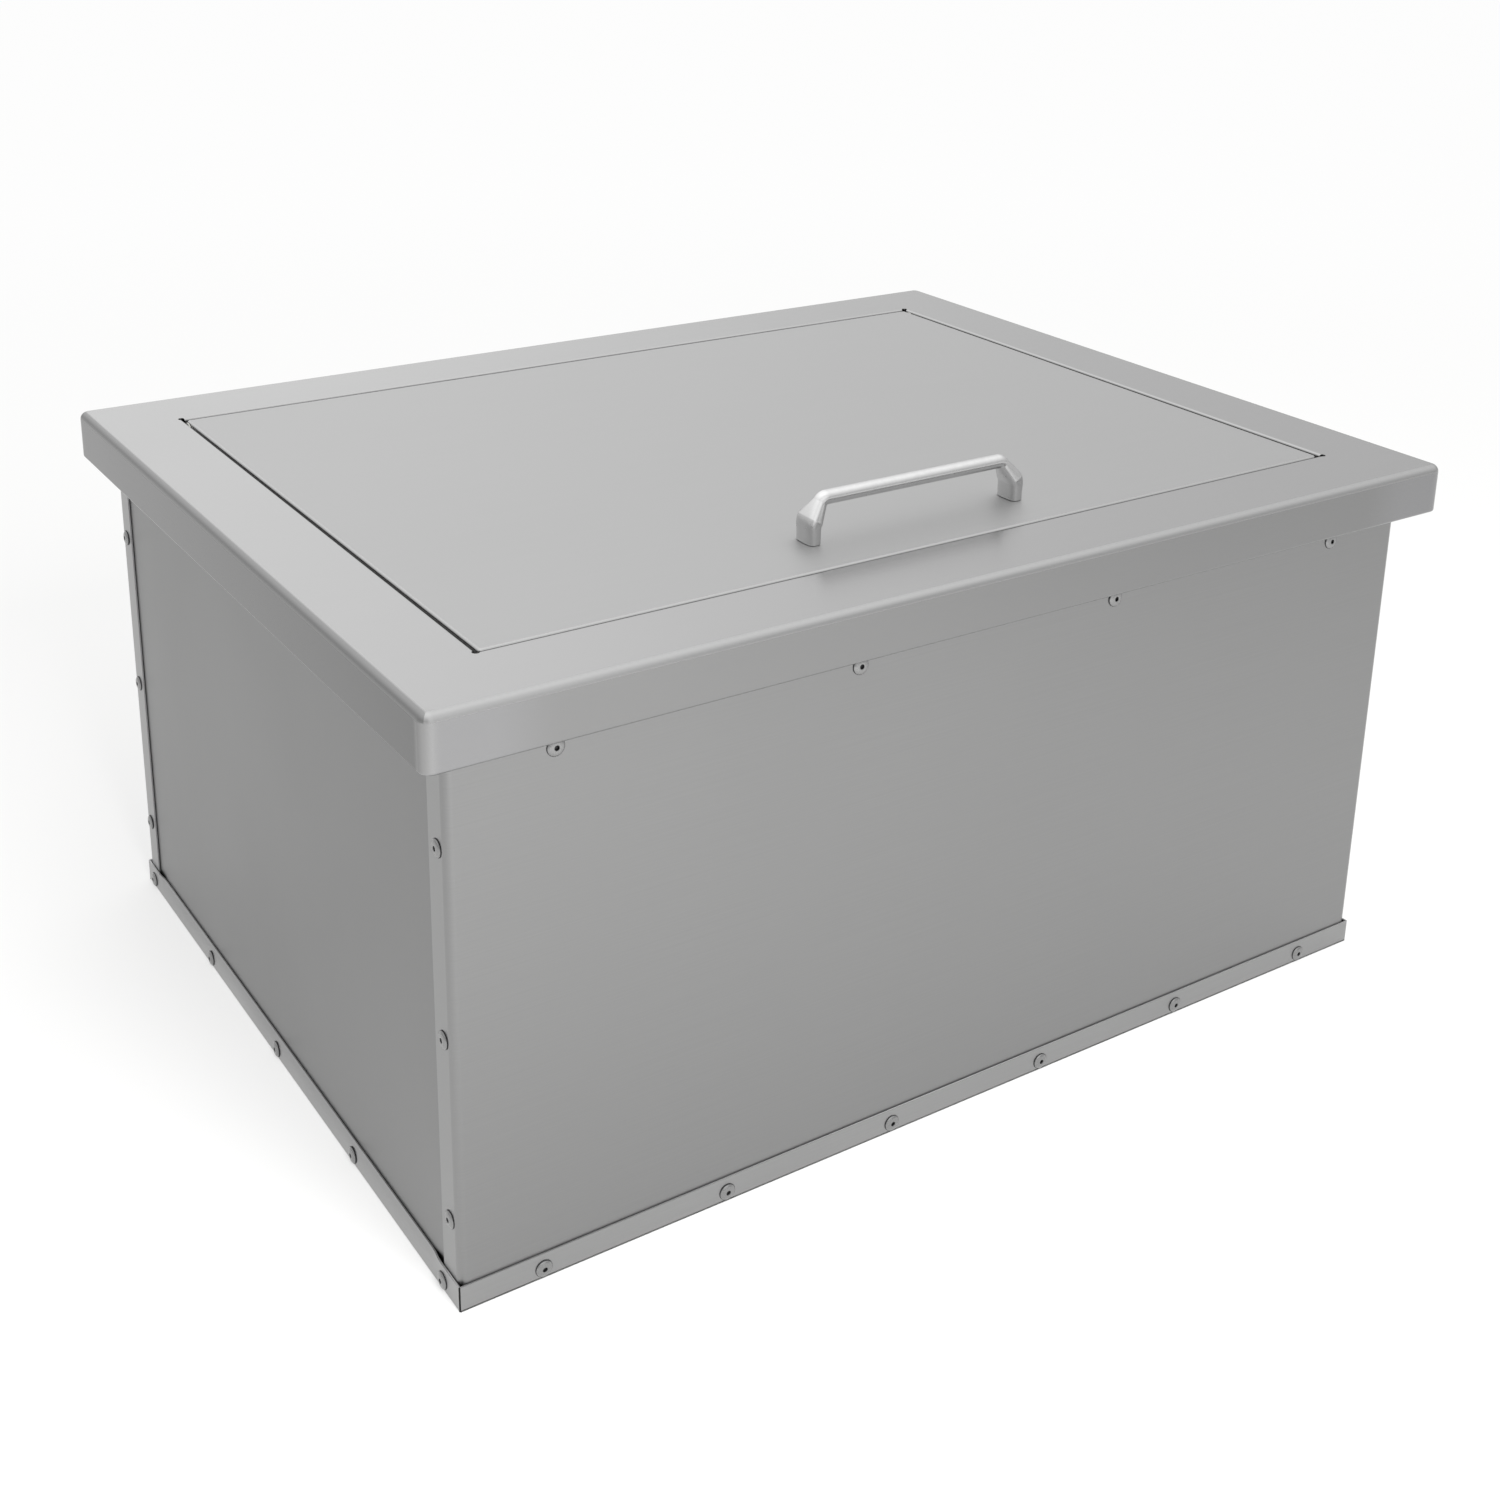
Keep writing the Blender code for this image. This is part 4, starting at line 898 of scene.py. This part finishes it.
# The rim's finish: painted shade on the skirt, painted highlights down its corners and along its bends.
rim_finish = brushed_steel("brushed_stainless_rim", RIM_ROUGHNESS, RIM_STEEL, BRIGHTER_RIM_STEEL)
paint_skirt_shade_and_welds(rim_finish)
tone_outer_bends(
    rim_finish, RIM_BEND_HIGHLIGHT, RIM_SIDE_BEND_HIGHLIGHT, RIM_BEND_ROUGHNESS, HALF_X, HALF_Y, HEIGHT, RIM_BEND
)
rim_profile = rounded(
    (
        (RIM_HEM, HEIGHT - RIM_DROP),
        (0, HEIGHT - RIM_DROP),
        (0, HEIGHT),
        (RIM_FACE, HEIGHT),
        (RIM_FACE, LEDGE_TOP),
        (RIM_FACE + LEDGE_WIDTH, LEDGE_TOP),
    ),
    (THROAT_BEND, RIM_BEND, THROAT_BEND, 0),
    SMALL_BEND_STEPS,
)
rim = new_piece(
    "folded_rim",
    loft(frame_rings(HALF_X, HALF_Y, rim_profile, RIM_CORNER, RIM_CORNER - RIM_BEND)),
    rim_finish,
)
thicken(rim, RIM_SHEET)
reliefs = [
    ((x, y, LEDGE_TOP + RIM_SHEET), (x, y, HEIGHT + RIM_SHEET))
    for x in (-OPEN_X, OPEN_X)
    for y in (-OPEN_Y, OPEN_Y)
]
cut(rim, drill(reliefs, RELIEF_RADIUS, SMALL_HOLE_STEPS))
pin_holes = [
    ((side * (OPEN_X - RIM_SHEET), PIVOT_Y, PIVOT_Z), (side * (OPEN_X + 2 * RIM_SHEET), PIVOT_Y, PIVOT_Z))
    for side in (-1, 1)
]
cut(rim, drill(pin_holes, PIN_RADIUS + FIT, SMALL_HOLE_STEPS))
smooth_bends(rim)
lay_grain(rim)
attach(rim, "chest")
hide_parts("top_rim")

# Rim angles
# Two angles of 1.5 mm mill-finish stainless under the tub's front and back flanges, which the rivets under
# the rim pull against. Nothing but the sheet's own cool grey shows on them.


def dress(name, finish):
    """Gives a CAD node its material."""
    for slot in NODES[name].material_slots:
        slot.material = finish


angle_finish = bright_steel(
    "mill_finish_stainless_angle", "#9C9C9C", "#A6A6A6", roughness=0.32, fleck_size=0.006, fleck_depth=0.00002
)
for name in ("front_rim_angle", "back_rim_angle"):
    dress(name, angle_finish)

# Inner tub
# The ice cavity: one welded tub of 0.9 mm stainless with 14 mm corners and a 10 mm floor bend, hung from a
# flange under the rim's ledge, its inside brushed downwards.
TUB_FLANGE = 0.014
TUB_BEND = 0.0015
TUB_CORNER = 0.014
TUB_CORNER_STEPS = 12
SHARP_CORNER = 0.0001
TUB_FLOOR_BEND = 0.010
MOUTH_X = OPEN_X - LEDGE_WIDTH
MOUTH_Y = OPEN_Y - LEDGE_WIDTH
TUB_TOP = LEDGE_TOP - RIM_SHEET - FIT
TUB_FLOOR = 0.0384
DRAIN_TAIL = 0.0165
DRAIN_HOLE_REACH = 0.005
TUB_STEEL = "#BEBEBE"
BRIGHTER_TUB_STEEL = "#C3C3C3"
TUB_ROUGHNESS = 0.38

tub_profile = rounded(
    (
        (0, TUB_TOP),
        (TUB_FLANGE, TUB_TOP),
        (TUB_FLANGE, TUB_FLOOR),
        (TUB_FLANGE + 2 * TUB_CORNER, TUB_FLOOR),
    ),
    (TUB_BEND, TUB_FLOOR_BEND),
)[:-1]
tub_rings = frame_rings(
    MOUTH_X + TUB_FLANGE,
    MOUTH_Y + TUB_FLANGE,
    tub_profile,
    TUB_FLANGE + TUB_CORNER,
    SHARP_CORNER,
    TUB_CORNER_STEPS,
)
tub = new_piece(
    "welded_tub",
    loft(tub_rings, close_last=True),
    brushed_steel("brushed_stainless_tub", TUB_ROUGHNESS, TUB_STEEL, BRIGHTER_TUB_STEEL),
)
thicken(tub, SHEET)
hole_ends = [(0, 0, TUB_FLOOR + side * DRAIN_HOLE_REACH) for side in (-1, 1)]
cut(tub, drill([hole_ends], DRAIN_TAIL + FIT))
smooth_bends(tub)
lay_grain(tub)
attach(tub, "chest")
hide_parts("inner_tub")

# Insulation
# Five boards of expanded polystyrene between the tub and the jacket, cut with a hot wire. It is white and
# matt, and its 3 mm beads meet in fine dull seams.
BEAD_SIZE = 0.003
BEAD_SEAM = 0.0003
FOAM_ROUGHNESS = 0.85


def cell_foam(name, colour, seam_colour, cell, seam):
    """Rigid foam: matt, with cells of this size that meet in duller seams."""
    made, tree, place = new_finish(name)
    cells = add_node(
        tree,
        "ShaderNodeTexVoronoi",
        {"Vector": place, "Scale": 1 / cell, "Randomness": 0.9},
        feature="DISTANCE_TO_EDGE",
    )
    depth = add_node(tree, "ShaderNodeMapRange", {"Value": cells, "From Max": seam / cell * 2, "To Max": 1.0})
    dents = {"Strength": 0.6, "Distance": seam, "Height": depth}
    return end_finish(made, depth, seam_colour, colour, dents, {"Roughness": FOAM_ROUGHNESS})


board_finish = cell_foam("expanded_polystyrene", "#F1F1EC", "#D5D5CF", BEAD_SIZE, BEAD_SEAM)
for place in ("floor", "front", "back", "left", "right"):
    dress(f"insulation_{place}", board_finish)

# Drain
# A turned stainless fitting with a flange inside the tub and a threaded tail down through the floor. A
# rubber washer and a hexagonal locknut clamp it from below.
DRAIN_FLANGE = 0.030
DRAIN_FLANGE_SHEET = 0.0025
DRAIN_TOP = FIT + DRAIN_FLANGE_SHEET
DRAIN_EDGE = 0.001
DRAIN_BORE = 0.012
DRAIN_BORE_JOIN = 0.001
DRAIN_SEAT = 0.0145
DRAIN_SEAT_DEPTH = 0.010
DRAIN_CLEARANCE = 0.0015
DRAIN_LENGTH = TUB_FLOOR - DRAIN_CLEARANCE
THREAD_PITCH = 0.002
THREAD_DEPTH = 0.0008
DRAIN_CORE = DRAIN_TAIL - THREAD_DEPTH
THREAD_TOP = 0.0032
THREAD_STEPS = 40
TURNED_STEPS = 64
TURNED_CREASE = 35
SAME_PLACE = 0.000001
RUBBER = "#333435"
RUBBER_BLOOM = "#47484A"
BLOOM_SCALE = 60.0
MOULD_SHINE = 0.06


def turned(name, profile, finish, place, axis=(0, 0, 1), closed=False, steps=TURNED_STEPS):
    """A profile of radius and height turned round an axis, as on a lathe."""
    shape = bmesh.new()
    verts = [shape.verts.new((radius, 0, height)) for radius, height in profile]
    lines = [shape.edges.new(pair) for pair in zip(verts, verts[1:])]
    if closed:
        lines.append(shape.edges.new((verts[-1], verts[0])))
    bmesh.ops.spin(shape, geom=verts + lines, axis=(0, 0, 1), steps=steps, angle=math.tau)
    bmesh.ops.remove_doubles(shape, verts=shape.verts, dist=SAME_PLACE)
    bmesh.ops.recalc_face_normals(shape, faces=shape.faces)
    turn = Vector(axis).to_track_quat("Z", "Y").to_matrix().to_4x4()
    bmesh.ops.transform(shape, matrix=Matrix.Translation(place) @ turn, verts=shape.verts)
    made = new_piece(name, shape, finish)
    shade(made, TURNED_CREASE)
    return made


def thread_tree(finish, sizes):
    """A ridge of diamond section that winds down a tail, joined to the piece it runs on."""
    tree, given = sized_tree("tail_thread", sizes)
    rise = add_node(tree, "ShaderNodeMath", {0: given["Turns"], 1: given["Pitch"]}, operation="MULTIPLY")
    helix = add_node(
        tree,
        "GeometryNodeCurveSpiral",
        {
            "Resolution": THREAD_STEPS,
            "Rotations": given["Turns"],
            "Start Radius": given["Core Radius"],
            "End Radius": given["Core Radius"],
            "Height": rise,
        },
    )
    drop = add_node(tree, "ShaderNodeCombineXYZ", {"Z": given["Start Height"]})
    lowered = add_node(tree, "GeometryNodeTransform", {"Geometry": helix, "Translation": drop})
    section = add_node(tree, "GeometryNodeCurvePrimitiveCircle", {"Resolution": 4, "Radius": given["Depth"]})
    ridge = add_node(
        tree, "GeometryNodeCurveToMesh", {"Curve": lowered, "Profile Curve": section, "Fill Caps": True}
    )
    joined = add_node(tree, "GeometryNodeJoinGeometry", {0: [given["Geometry"], ridge]})
    return finish_tree(tree, joined, (finish, True))


def moulded(name, colour, bloom, roughness, grain_size, grain_depth):
    """A moulded rubber or plastic: its colour with a faint bloom, and the fine texture of its mould."""
    made, tree, place = new_finish(name)
    grain, patches = [
        add_node(tree, "ShaderNodeTexNoise", {"Vector": place, **fine, "Roughness": 0.6})
        for fine in ({"Scale": 1 / grain_size, "Detail": 4.0}, {"Scale": BLOOM_SCALE, "Detail": 3.0})
    ]
    share = add_node(tree, "ShaderNodeMapRange", {"Value": patches, "From Min": 0.4, "From Max": 0.75})
    shine = {"To Min": roughness - MOULD_SHINE, "To Max": roughness + MOULD_SHINE}
    gloss = add_node(tree, "ShaderNodeMapRange", {"Value": grain, **shine})
    texture = {"Strength": 0.5, "Distance": grain_depth, "Height": grain}
    return end_finish(made, share, colour, bloom, texture, {"Roughness": gloss})


drain_finish = bright_steel(
    "turned_stainless_drain", "#A9A9A9", "#B4B4B4", roughness=0.24, fleck_size=0.002, fleck_depth=0.00002
)
drain_outline = (
    (DRAIN_BORE, -DRAIN_LENGTH / 2),
    (DRAIN_BORE, DRAIN_TOP - DRAIN_SEAT_DEPTH),
    (DRAIN_SEAT, DRAIN_TOP),
    (DRAIN_FLANGE - DRAIN_EDGE, DRAIN_TOP),
    (DRAIN_FLANGE, DRAIN_TOP - DRAIN_EDGE),
    (DRAIN_FLANGE, FIT),
    (DRAIN_TAIL, FIT),
    (DRAIN_TAIL, -THREAD_TOP),
    (DRAIN_CORE, -THREAD_TOP - THREAD_DEPTH),
    (DRAIN_CORE, -DRAIN_LENGTH),
    (DRAIN_BORE, -DRAIN_LENGTH),
    (DRAIN_BORE, -DRAIN_LENGTH / 2 - DRAIN_BORE_JOIN),
)
drain_profile = rounded(drain_outline, (0.001, 0.0006, 0.0006, 0.0005, 0, 0, 0, 0, 0.0004, 0.0004), 4)
drain = turned("turned_drain_body", drain_profile, drain_finish, (0, 0, 0), closed=True)
thread_sizes = {
    "Core Radius": DRAIN_CORE,
    "Pitch": THREAD_PITCH,
    "Depth": THREAD_DEPTH,
    "Turns": 15,
    "Start Height": -DRAIN_LENGTH + THREAD_PITCH,
}
grow(drain, thread_tree(drain_finish, thread_sizes), thread_sizes)
drain.data.transform(Matrix.Translation((0, 0, TUB_FLOOR)))
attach(drain, "chest")
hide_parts("drain_body")
nut_finish = bright_steel(
    "cast_stainless_locknut", "#999999", "#A3A3A3", roughness=0.36, fleck_size=0.001, fleck_depth=0.00006
)
dress("drain_locknut", nut_finish)
rubber_finish = moulded(
    "moulded_rubber", RUBBER, RUBBER_BLOOM, roughness=0.62, grain_size=0.0006, grain_depth=0.00005
)
dress("drain_washer", rubber_finish)

# Drain plug
# A moulded rubber stopper: a tapered plug that wedges in the drain's seat, a round head over the flange and
# a waisted knob to pull it out by.
PLUG_HEAD_RADIUS = 0.018
PLUG_HEAD = 0.003
PLUG_NECK_RADIUS = 0.0035
PLUG_NECK = 0.003
PLUG_KNOB_RADIUS = 0.007
PLUG_KNOB = 0.005
PLUG_KNOB_FLARE = 0.001
PLUG_NECK_FLARE = 0.0006
PLUG_HEAD_SLOPE = 0.001
PLUG_BASE = DRAIN_TOP + FIT
PLUG_NECK_BASE = PLUG_BASE + PLUG_HEAD
PLUG_KNOB_BASE = PLUG_NECK_BASE + PLUG_NECK

plug_finish = moulded(
    "moulded_rubber_plug", RUBBER, RUBBER_BLOOM, roughness=0.5, grain_size=0.0006, grain_depth=0.00004
)
plug_outline = (
    (0, PLUG_KNOB_BASE + PLUG_KNOB),
    (PLUG_KNOB_RADIUS, PLUG_KNOB_BASE + PLUG_KNOB),
    (PLUG_KNOB_RADIUS, PLUG_KNOB_BASE + PLUG_KNOB_FLARE),
    (PLUG_NECK_RADIUS, PLUG_KNOB_BASE),
    (PLUG_NECK_RADIUS, PLUG_NECK_BASE + PLUG_NECK_FLARE),
    (PLUG_HEAD_RADIUS, PLUG_NECK_BASE - PLUG_HEAD_SLOPE),
    (PLUG_HEAD_RADIUS, PLUG_BASE),
    (DRAIN_SEAT - FIT, PLUG_BASE),
    (DRAIN_SEAT - FIT, DRAIN_TOP),
    (DRAIN_BORE - FIT, DRAIN_TOP - DRAIN_SEAT_DEPTH),
    (0, DRAIN_TOP - DRAIN_SEAT_DEPTH),
)
plug_radii = (0.0022, 0.0010, 0.0014, 0.0014, 0.0009, 0.0005, 0, 0, 0.0012)
plug_profile = rounded(plug_outline, plug_radii, SMALL_BEND_STEPS)
plug = turned("moulded_drain_plug", plug_profile, plug_finish, (0, 0, TUB_FLOOR))
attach(plug, "plug")
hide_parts("drain_plug")

# Lid skin
# The lid's outer pan of 1 mm brushed stainless, folded down on all four sides and returned under, flush
# with the rim and clear of it by 2.2 mm all round.
LID_GAP = 0.0022
LID_TOP = 0.3266
LID_X = OPEN_X - LID_GAP
LID_Y = OPEN_Y - LID_GAP
LID_SIDE = 0.016
LID_RETURN = 0.014
LID_SHEET = 0.001
LID_BEND = 0.0015
LID_CORNER = 0.0022
LID_STEEL = "#ACACAC"
BRIGHTER_LID_STEEL = "#AFAFAF"
LID_ROUGHNESS = 0.52
BURNISHED_LID = "#A6A6A6"
BURNISHED_LID_ROUGHNESS = 0.2

lid_profile = rounded(
    ((LID_RETURN, LID_TOP - LID_SIDE), (0, LID_TOP - LID_SIDE), (0, LID_TOP), (LID_X, LID_TOP)),
    (LID_BEND, LID_BEND),
    SMALL_BEND_STEPS,
)[:-1]
lid_finish = brushed_steel("brushed_stainless_lid", LID_ROUGHNESS, LID_STEEL, BRIGHTER_LID_STEEL)
tone_outer_bends(lid_finish, BURNISHED_LID, BURNISHED_LID, BURNISHED_LID_ROUGHNESS, LID_X, LID_Y, LID_TOP, LID_BEND)
lid_skin = new_piece(
    "folded_lid_skin",
    loft(frame_rings(LID_X, LID_Y, lid_profile, LID_CORNER, LID_CORNER - LID_BEND), close_last=True),
    lid_finish,
)
thicken(lid_skin, LID_SHEET)
smooth_bends(lid_skin)
lay_grain(lid_skin)
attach(lid_skin, "lid")
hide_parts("lid_skin")

# Lid handle
# A cast and buffed stainless bridge handle: two broad flat feet with soft corners, shoulders that draw in
# to leaning legs, and a round 8 mm bar. Two screws from inside the lid hold it.
HANDLE_SPAN = 0.1375
HANDLE_Y = -0.1665
HANDLE_RISE = 0.0266
HANDLE_LEAN = 0.0082
HANDLE_FOOT = 0.010
HANDLE_KNEE = 0.009
HANDLE_BEND = 0.0045
HANDLE_STEPS = 16
FOOT_RINGS = (0, 0.0012, 0.003, 0.0045)
BAR_RADIUS = 0.004
FOOT_THICKNESS = 0.008
FOOT_WIDTH = 0.016
FOOT_SQUARENESS = 3.4
SHOULDER_BASE = 0.0115
SHOULDER = 0.0065
SHOULDER_SWELL = 0.0018
SWELL_HEIGHT = 0.0135
SWELL_REACH = 0.0050
SECTION_POINTS = 64


def handle_section(share):
    """A round bar at share 0, a flat bar with soft corners at share 1."""
    half_thick = BAR_RADIUS + (FOOT_THICKNESS / 2 - BAR_RADIUS) * share
    half_wide = BAR_RADIUS + (FOOT_WIDTH / 2 - BAR_RADIUS) * share
    power = 2 / (2 + (FOOT_SQUARENESS - 2) * share)
    points = []
    for i in range(SECTION_POINTS):
        angle = math.tau * i / SECTION_POINTS
        c, s = math.cos(angle), math.sin(angle)
        out = half_thick * math.copysign(abs(c) ** power, c)
        points.append((out, half_wide * math.copysign(abs(s) ** power, s)))
    return points


foot_x = HANDLE_SPAN / 2
bar_height = HANDLE_RISE - BAR_RADIUS
half_path = rounded(
    ((foot_x, 0), (foot_x, HANDLE_FOOT), (foot_x - HANDLE_LEAN, bar_height), (0, bar_height)),
    (HANDLE_KNEE, HANDLE_BEND),
    HANDLE_STEPS,
)
half_path = [Vector((foot_x, height)) for height in FOOT_RINGS] + half_path[1:]
path = half_path + [Vector((-point.x, point.y)) for point in reversed(half_path[:-1])]
handle_rings = []
for i, point in enumerate(path):
    along = path[min(i + 1, len(path) - 1)] - path[max(i - 1, 0)]
    across = Vector((along.y, -along.x)).normalized()
    drawn_in = math.sqrt(1 - min(max((point.y - SHOULDER_BASE) / SHOULDER, 0), 1) ** 2)
    swell = SHOULDER_SWELL * math.exp(-(((point.y - SWELL_HEIGHT) / SWELL_REACH) ** 2))
    handle_ring = []
    for out, deep in handle_section(drawn_in):
        out += swell * max(out, 0) / BAR_RADIUS
        height = LID_TOP + FIT + point.y + across.y * out
        handle_ring.append(Vector((point.x + across.x * out, HANDLE_Y + deep, height)))
    handle_rings.append(handle_ring)
handle_shape = loft(handle_rings, close_first=True, close_last=True)
bmesh.ops.recalc_face_normals(handle_shape, faces=handle_shape.faces)
handle_finish = bright_steel(
    "buffed_stainless_handle", "#CFCFCF", "#C6C6C6", roughness=0.24, fleck_size=0.004, fleck_depth=0.00003
)
handle = new_piece("buffed_handle", handle_shape, handle_finish)
shade(handle, 60)
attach(handle, "lid")
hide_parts("lid_handle")

screw_finish = bright_steel(
    "rolled_thread_screw_steel", "#A0A0A0", "#ABABAB", roughness=0.3, fleck_size=0.001, fleck_depth=0.00002
)
for side in ("left", "right"):
    dress(f"handle_screw_{side}", screw_finish)

# Lid core
# Rigid polyurethane poured into the lid, which foams up to fill the skin and the liner. It is cream-white
# and matt, with pin-hole cells of about 1 mm.
FOAM_CELL = 0.0011
FOAM_SEAM = 0.00014
dress("lid_foam", cell_foam("poured_polyurethane", "#EFEBDA", "#DAD5C0", FOAM_CELL, FOAM_SEAM))

# Lid liner
# The lid's inner pan of 0.8 mm stainless, pressed with a raised plug that drops into the tub's mouth. Its
# flange is caught under the skin's return.
LINER_SHEET = 0.0008
LINER_INSET = 0.0015
LINER_PLUG = 0.009
LINER_BEND = 0.0025
LINER_CORNER = 0.005
LINER_BASE = LID_TOP - LID_SIDE - FIT - LINER_SHEET
LINER_ROUGHNESS = 0.36
PLUG_GAP = 0.003
LINER_X = LID_X - LINER_INSET
LINER_Y = LID_Y - LINER_INSET
LINER_STEP = LINER_X - (MOUTH_X - PLUG_GAP)

liner_profile = rounded(
    (
        (LINER_STEP + 2 * LINER_BEND, LINER_BASE - LINER_PLUG),
        (LINER_STEP, LINER_BASE - LINER_PLUG),
        (LINER_STEP, LINER_BASE),
        (0, LINER_BASE),
    ),
    (LINER_BEND, LINER_BEND),
)[1:]
liner_rings = frame_rings(
    LINER_X, LINER_Y, liner_profile, LINER_STEP + LINER_CORNER, SHARP_CORNER, TUB_CORNER_STEPS
)
liner = new_piece(
    "pressed_lid_liner",
    loft(liner_rings, close_first=True),
    brushed_steel("brushed_stainless_liner", LINER_ROUGHNESS, TUB_STEEL, BRIGHTER_TUB_STEEL),
)
thicken(liner, LINER_SHEET)
smooth_bends(liner)
lay_grain(liner)
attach(liner, "lid")
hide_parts("lid_liner")

# Lid gasket
# An extruded rubber bulb seal, mitred and bonded into a frame under the liner's flange. It closes on the
# rim's ledge.
GASKET_INSET = 0.0085
GASKET_WIDTH = 0.007
GASKET_CORNER = 0.0095
GASKET_TOP = LINER_BASE - FIT
GASKET_BASE = LEDGE_TOP + FIT
GASKET_STEPS = 28
BULB_FLATNESS = 1.35


def gasket_tree(finish, sizes):
    """A flattened bulb section drawn round a rectangle with rounded corners."""
    tree, given = sized_tree("bulb_seal", sizes)
    square_path = add_node(
        tree, "GeometryNodeCurvePrimitiveQuadrilateral", {"Width": given["Length"], "Height": given["Depth"]}
    )
    round_path = add_node(
        tree,
        "GeometryNodeFilletCurve",
        {"Curve": square_path, "Radius": given["Corner Radius"], "Count": given["Count"]},
        mode="POLY",
    )
    lift = add_node(tree, "ShaderNodeCombineXYZ", {"Z": given["Height"]})
    raised = add_node(tree, "GeometryNodeTransform", {"Geometry": round_path, "Translation": lift})
    upright = add_node(tree, "GeometryNodeSetCurveNormal", {"Curve": raised}, mode="Z_UP")
    bulb = add_node(tree, "GeometryNodeCurvePrimitiveCircle", {"Resolution": GASKET_STEPS, "Radius": 1.0})
    place = add_node(tree, "GeometryNodeInputPosition")
    parts = add_node(tree, "ShaderNodeSeparateXYZ", {0: place}).outputs
    wide = add_node(tree, "ShaderNodeMath", {0: parts["X"], 1: given["Half Width"]}, operation="MULTIPLY")
    full = add_node(tree, "ShaderNodeMath", {0: parts["Y"], 1: BULB_FLATNESS}, operation="MULTIPLY")
    flat = add_node(tree, "ShaderNodeClamp", {"Value": full, "Min": -1.0, "Max": 1.0})
    tall = add_node(tree, "ShaderNodeMath", {0: flat, 1: given["Half Height"]}, operation="MULTIPLY")
    point = add_node(tree, "ShaderNodeCombineXYZ", {"X": wide, "Y": tall})
    section = add_node(tree, "GeometryNodeSetPosition", {"Geometry": bulb, "Position": point})
    drawn = add_node(tree, "GeometryNodeCurveToMesh", {"Curve": upright, "Profile Curve": section})
    return finish_tree(tree, drawn, (finish, True))


gasket = new_piece("bulb_lid_gasket", bmesh.new(), rubber_finish)
gasket_sizes = {
    "Length": 2 * (LID_X - GASKET_INSET) - GASKET_WIDTH,
    "Depth": 2 * (LID_Y - GASKET_INSET) - GASKET_WIDTH,
    "Corner Radius": GASKET_CORNER,
    "Height": (GASKET_TOP + GASKET_BASE) / 2,
    "Half Width": GASKET_WIDTH / 2,
    "Half Height": (GASKET_TOP - GASKET_BASE) / 2,
    "Count": 10,
}
grow(gasket, gasket_tree(rubber_finish, gasket_sizes), gasket_sizes)
gasket_skin = bmesh.new()
gasket_skin.from_mesh(gasket.data)
bmesh.ops.recalc_face_normals(gasket_skin, faces=gasket_skin.faces)
gasket_skin.to_mesh(gasket.data)
gasket_skin.free()
shade(gasket, 50)
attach(gasket, "lid")
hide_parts("lid_gasket")

# Hinge
# Two headed stainless pins, pushed through the rim's throat from outside near its back corners, in flanged
# white nylon bushes pressed into the lid's sides. The lid turns on them.
PIN_HEAD_RADIUS = 0.0045
PIN_HEAD = 0.002
PIN_PLAY = 0.00015
BUSH_WALL = 0.0013
BUSH_FLANGE = 0.001
BUSH_FLANGE_WIDTH = 0.0013
BUSH_LENGTH = 0.008
BUSH_BORE = PIN_RADIUS + PIN_PLAY
BUSH_BORE_JOIN = 0.0005
BUSH_RADIUS = BUSH_BORE + BUSH_WALL
BUSH_SEAT = LID_X + FIT
PIN_INNER = LID_X - LID_SHEET - BUSH_LENGTH
PIN_SEAT = OPEN_X + RIM_SHEET + FIT
HINGE_STEPS = 40

pin_finish = bright_steel(
    "ground_stainless_pin", "#B0B0B0", "#A8A8A8", roughness=0.18, fleck_size=0.001, fleck_depth=0.00001
)
# Painted shade: the white nylon is painted mid grey, so the bushes read dark in the gap they sit in.
bush_finish = moulded(
    "moulded_nylon", "#9B9B97", "#A5A5A1", roughness=0.42, grain_size=0.0008, grain_depth=0.00003
)
pin_outline = (
    (0, PIN_SEAT + PIN_HEAD),
    (PIN_HEAD_RADIUS, PIN_SEAT + PIN_HEAD),
    (PIN_HEAD_RADIUS, PIN_SEAT),
    (PIN_RADIUS, PIN_SEAT),
    (PIN_RADIUS, PIN_INNER),
    (0, PIN_INNER),
)
pin_profile = rounded(pin_outline, (0.0013, 0.0003, 0, 0.0006), 6)
bush_outline = (
    (BUSH_BORE, (PIN_INNER + LID_X) / 2),
    (BUSH_BORE, BUSH_SEAT + BUSH_FLANGE),
    (BUSH_RADIUS + BUSH_FLANGE_WIDTH, BUSH_SEAT + BUSH_FLANGE),
    (BUSH_RADIUS + BUSH_FLANGE_WIDTH, BUSH_SEAT),
    (BUSH_RADIUS, BUSH_SEAT),
    (BUSH_RADIUS, PIN_INNER),
    (BUSH_BORE, PIN_INNER),
    (BUSH_BORE, (PIN_INNER + LID_X) / 2 - BUSH_BORE_JOIN),
)
bush_profile = rounded(bush_outline, (0.0003, 0.0004, 0.0002, 0, 0.0004, 0.0002), 4)
pivot = (0, PIVOT_Y, PIVOT_Z)
for side, where in ((-1, "left"), (1, "right")):
    axis = (side, 0, 0)
    pin = turned(f"headed_hinge_pin_{where}", pin_profile, pin_finish, pivot, axis, steps=HINGE_STEPS)
    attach(pin, "chest")
    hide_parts(f"hinge_pin_{where}")
    bush = turned(
        f"flanged_hinge_bush_{where}", bush_profile, bush_finish, pivot, axis, closed=True, steps=HINGE_STEPS
    )
    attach(bush, "lid")
    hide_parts(f"hinge_bush_{where}")
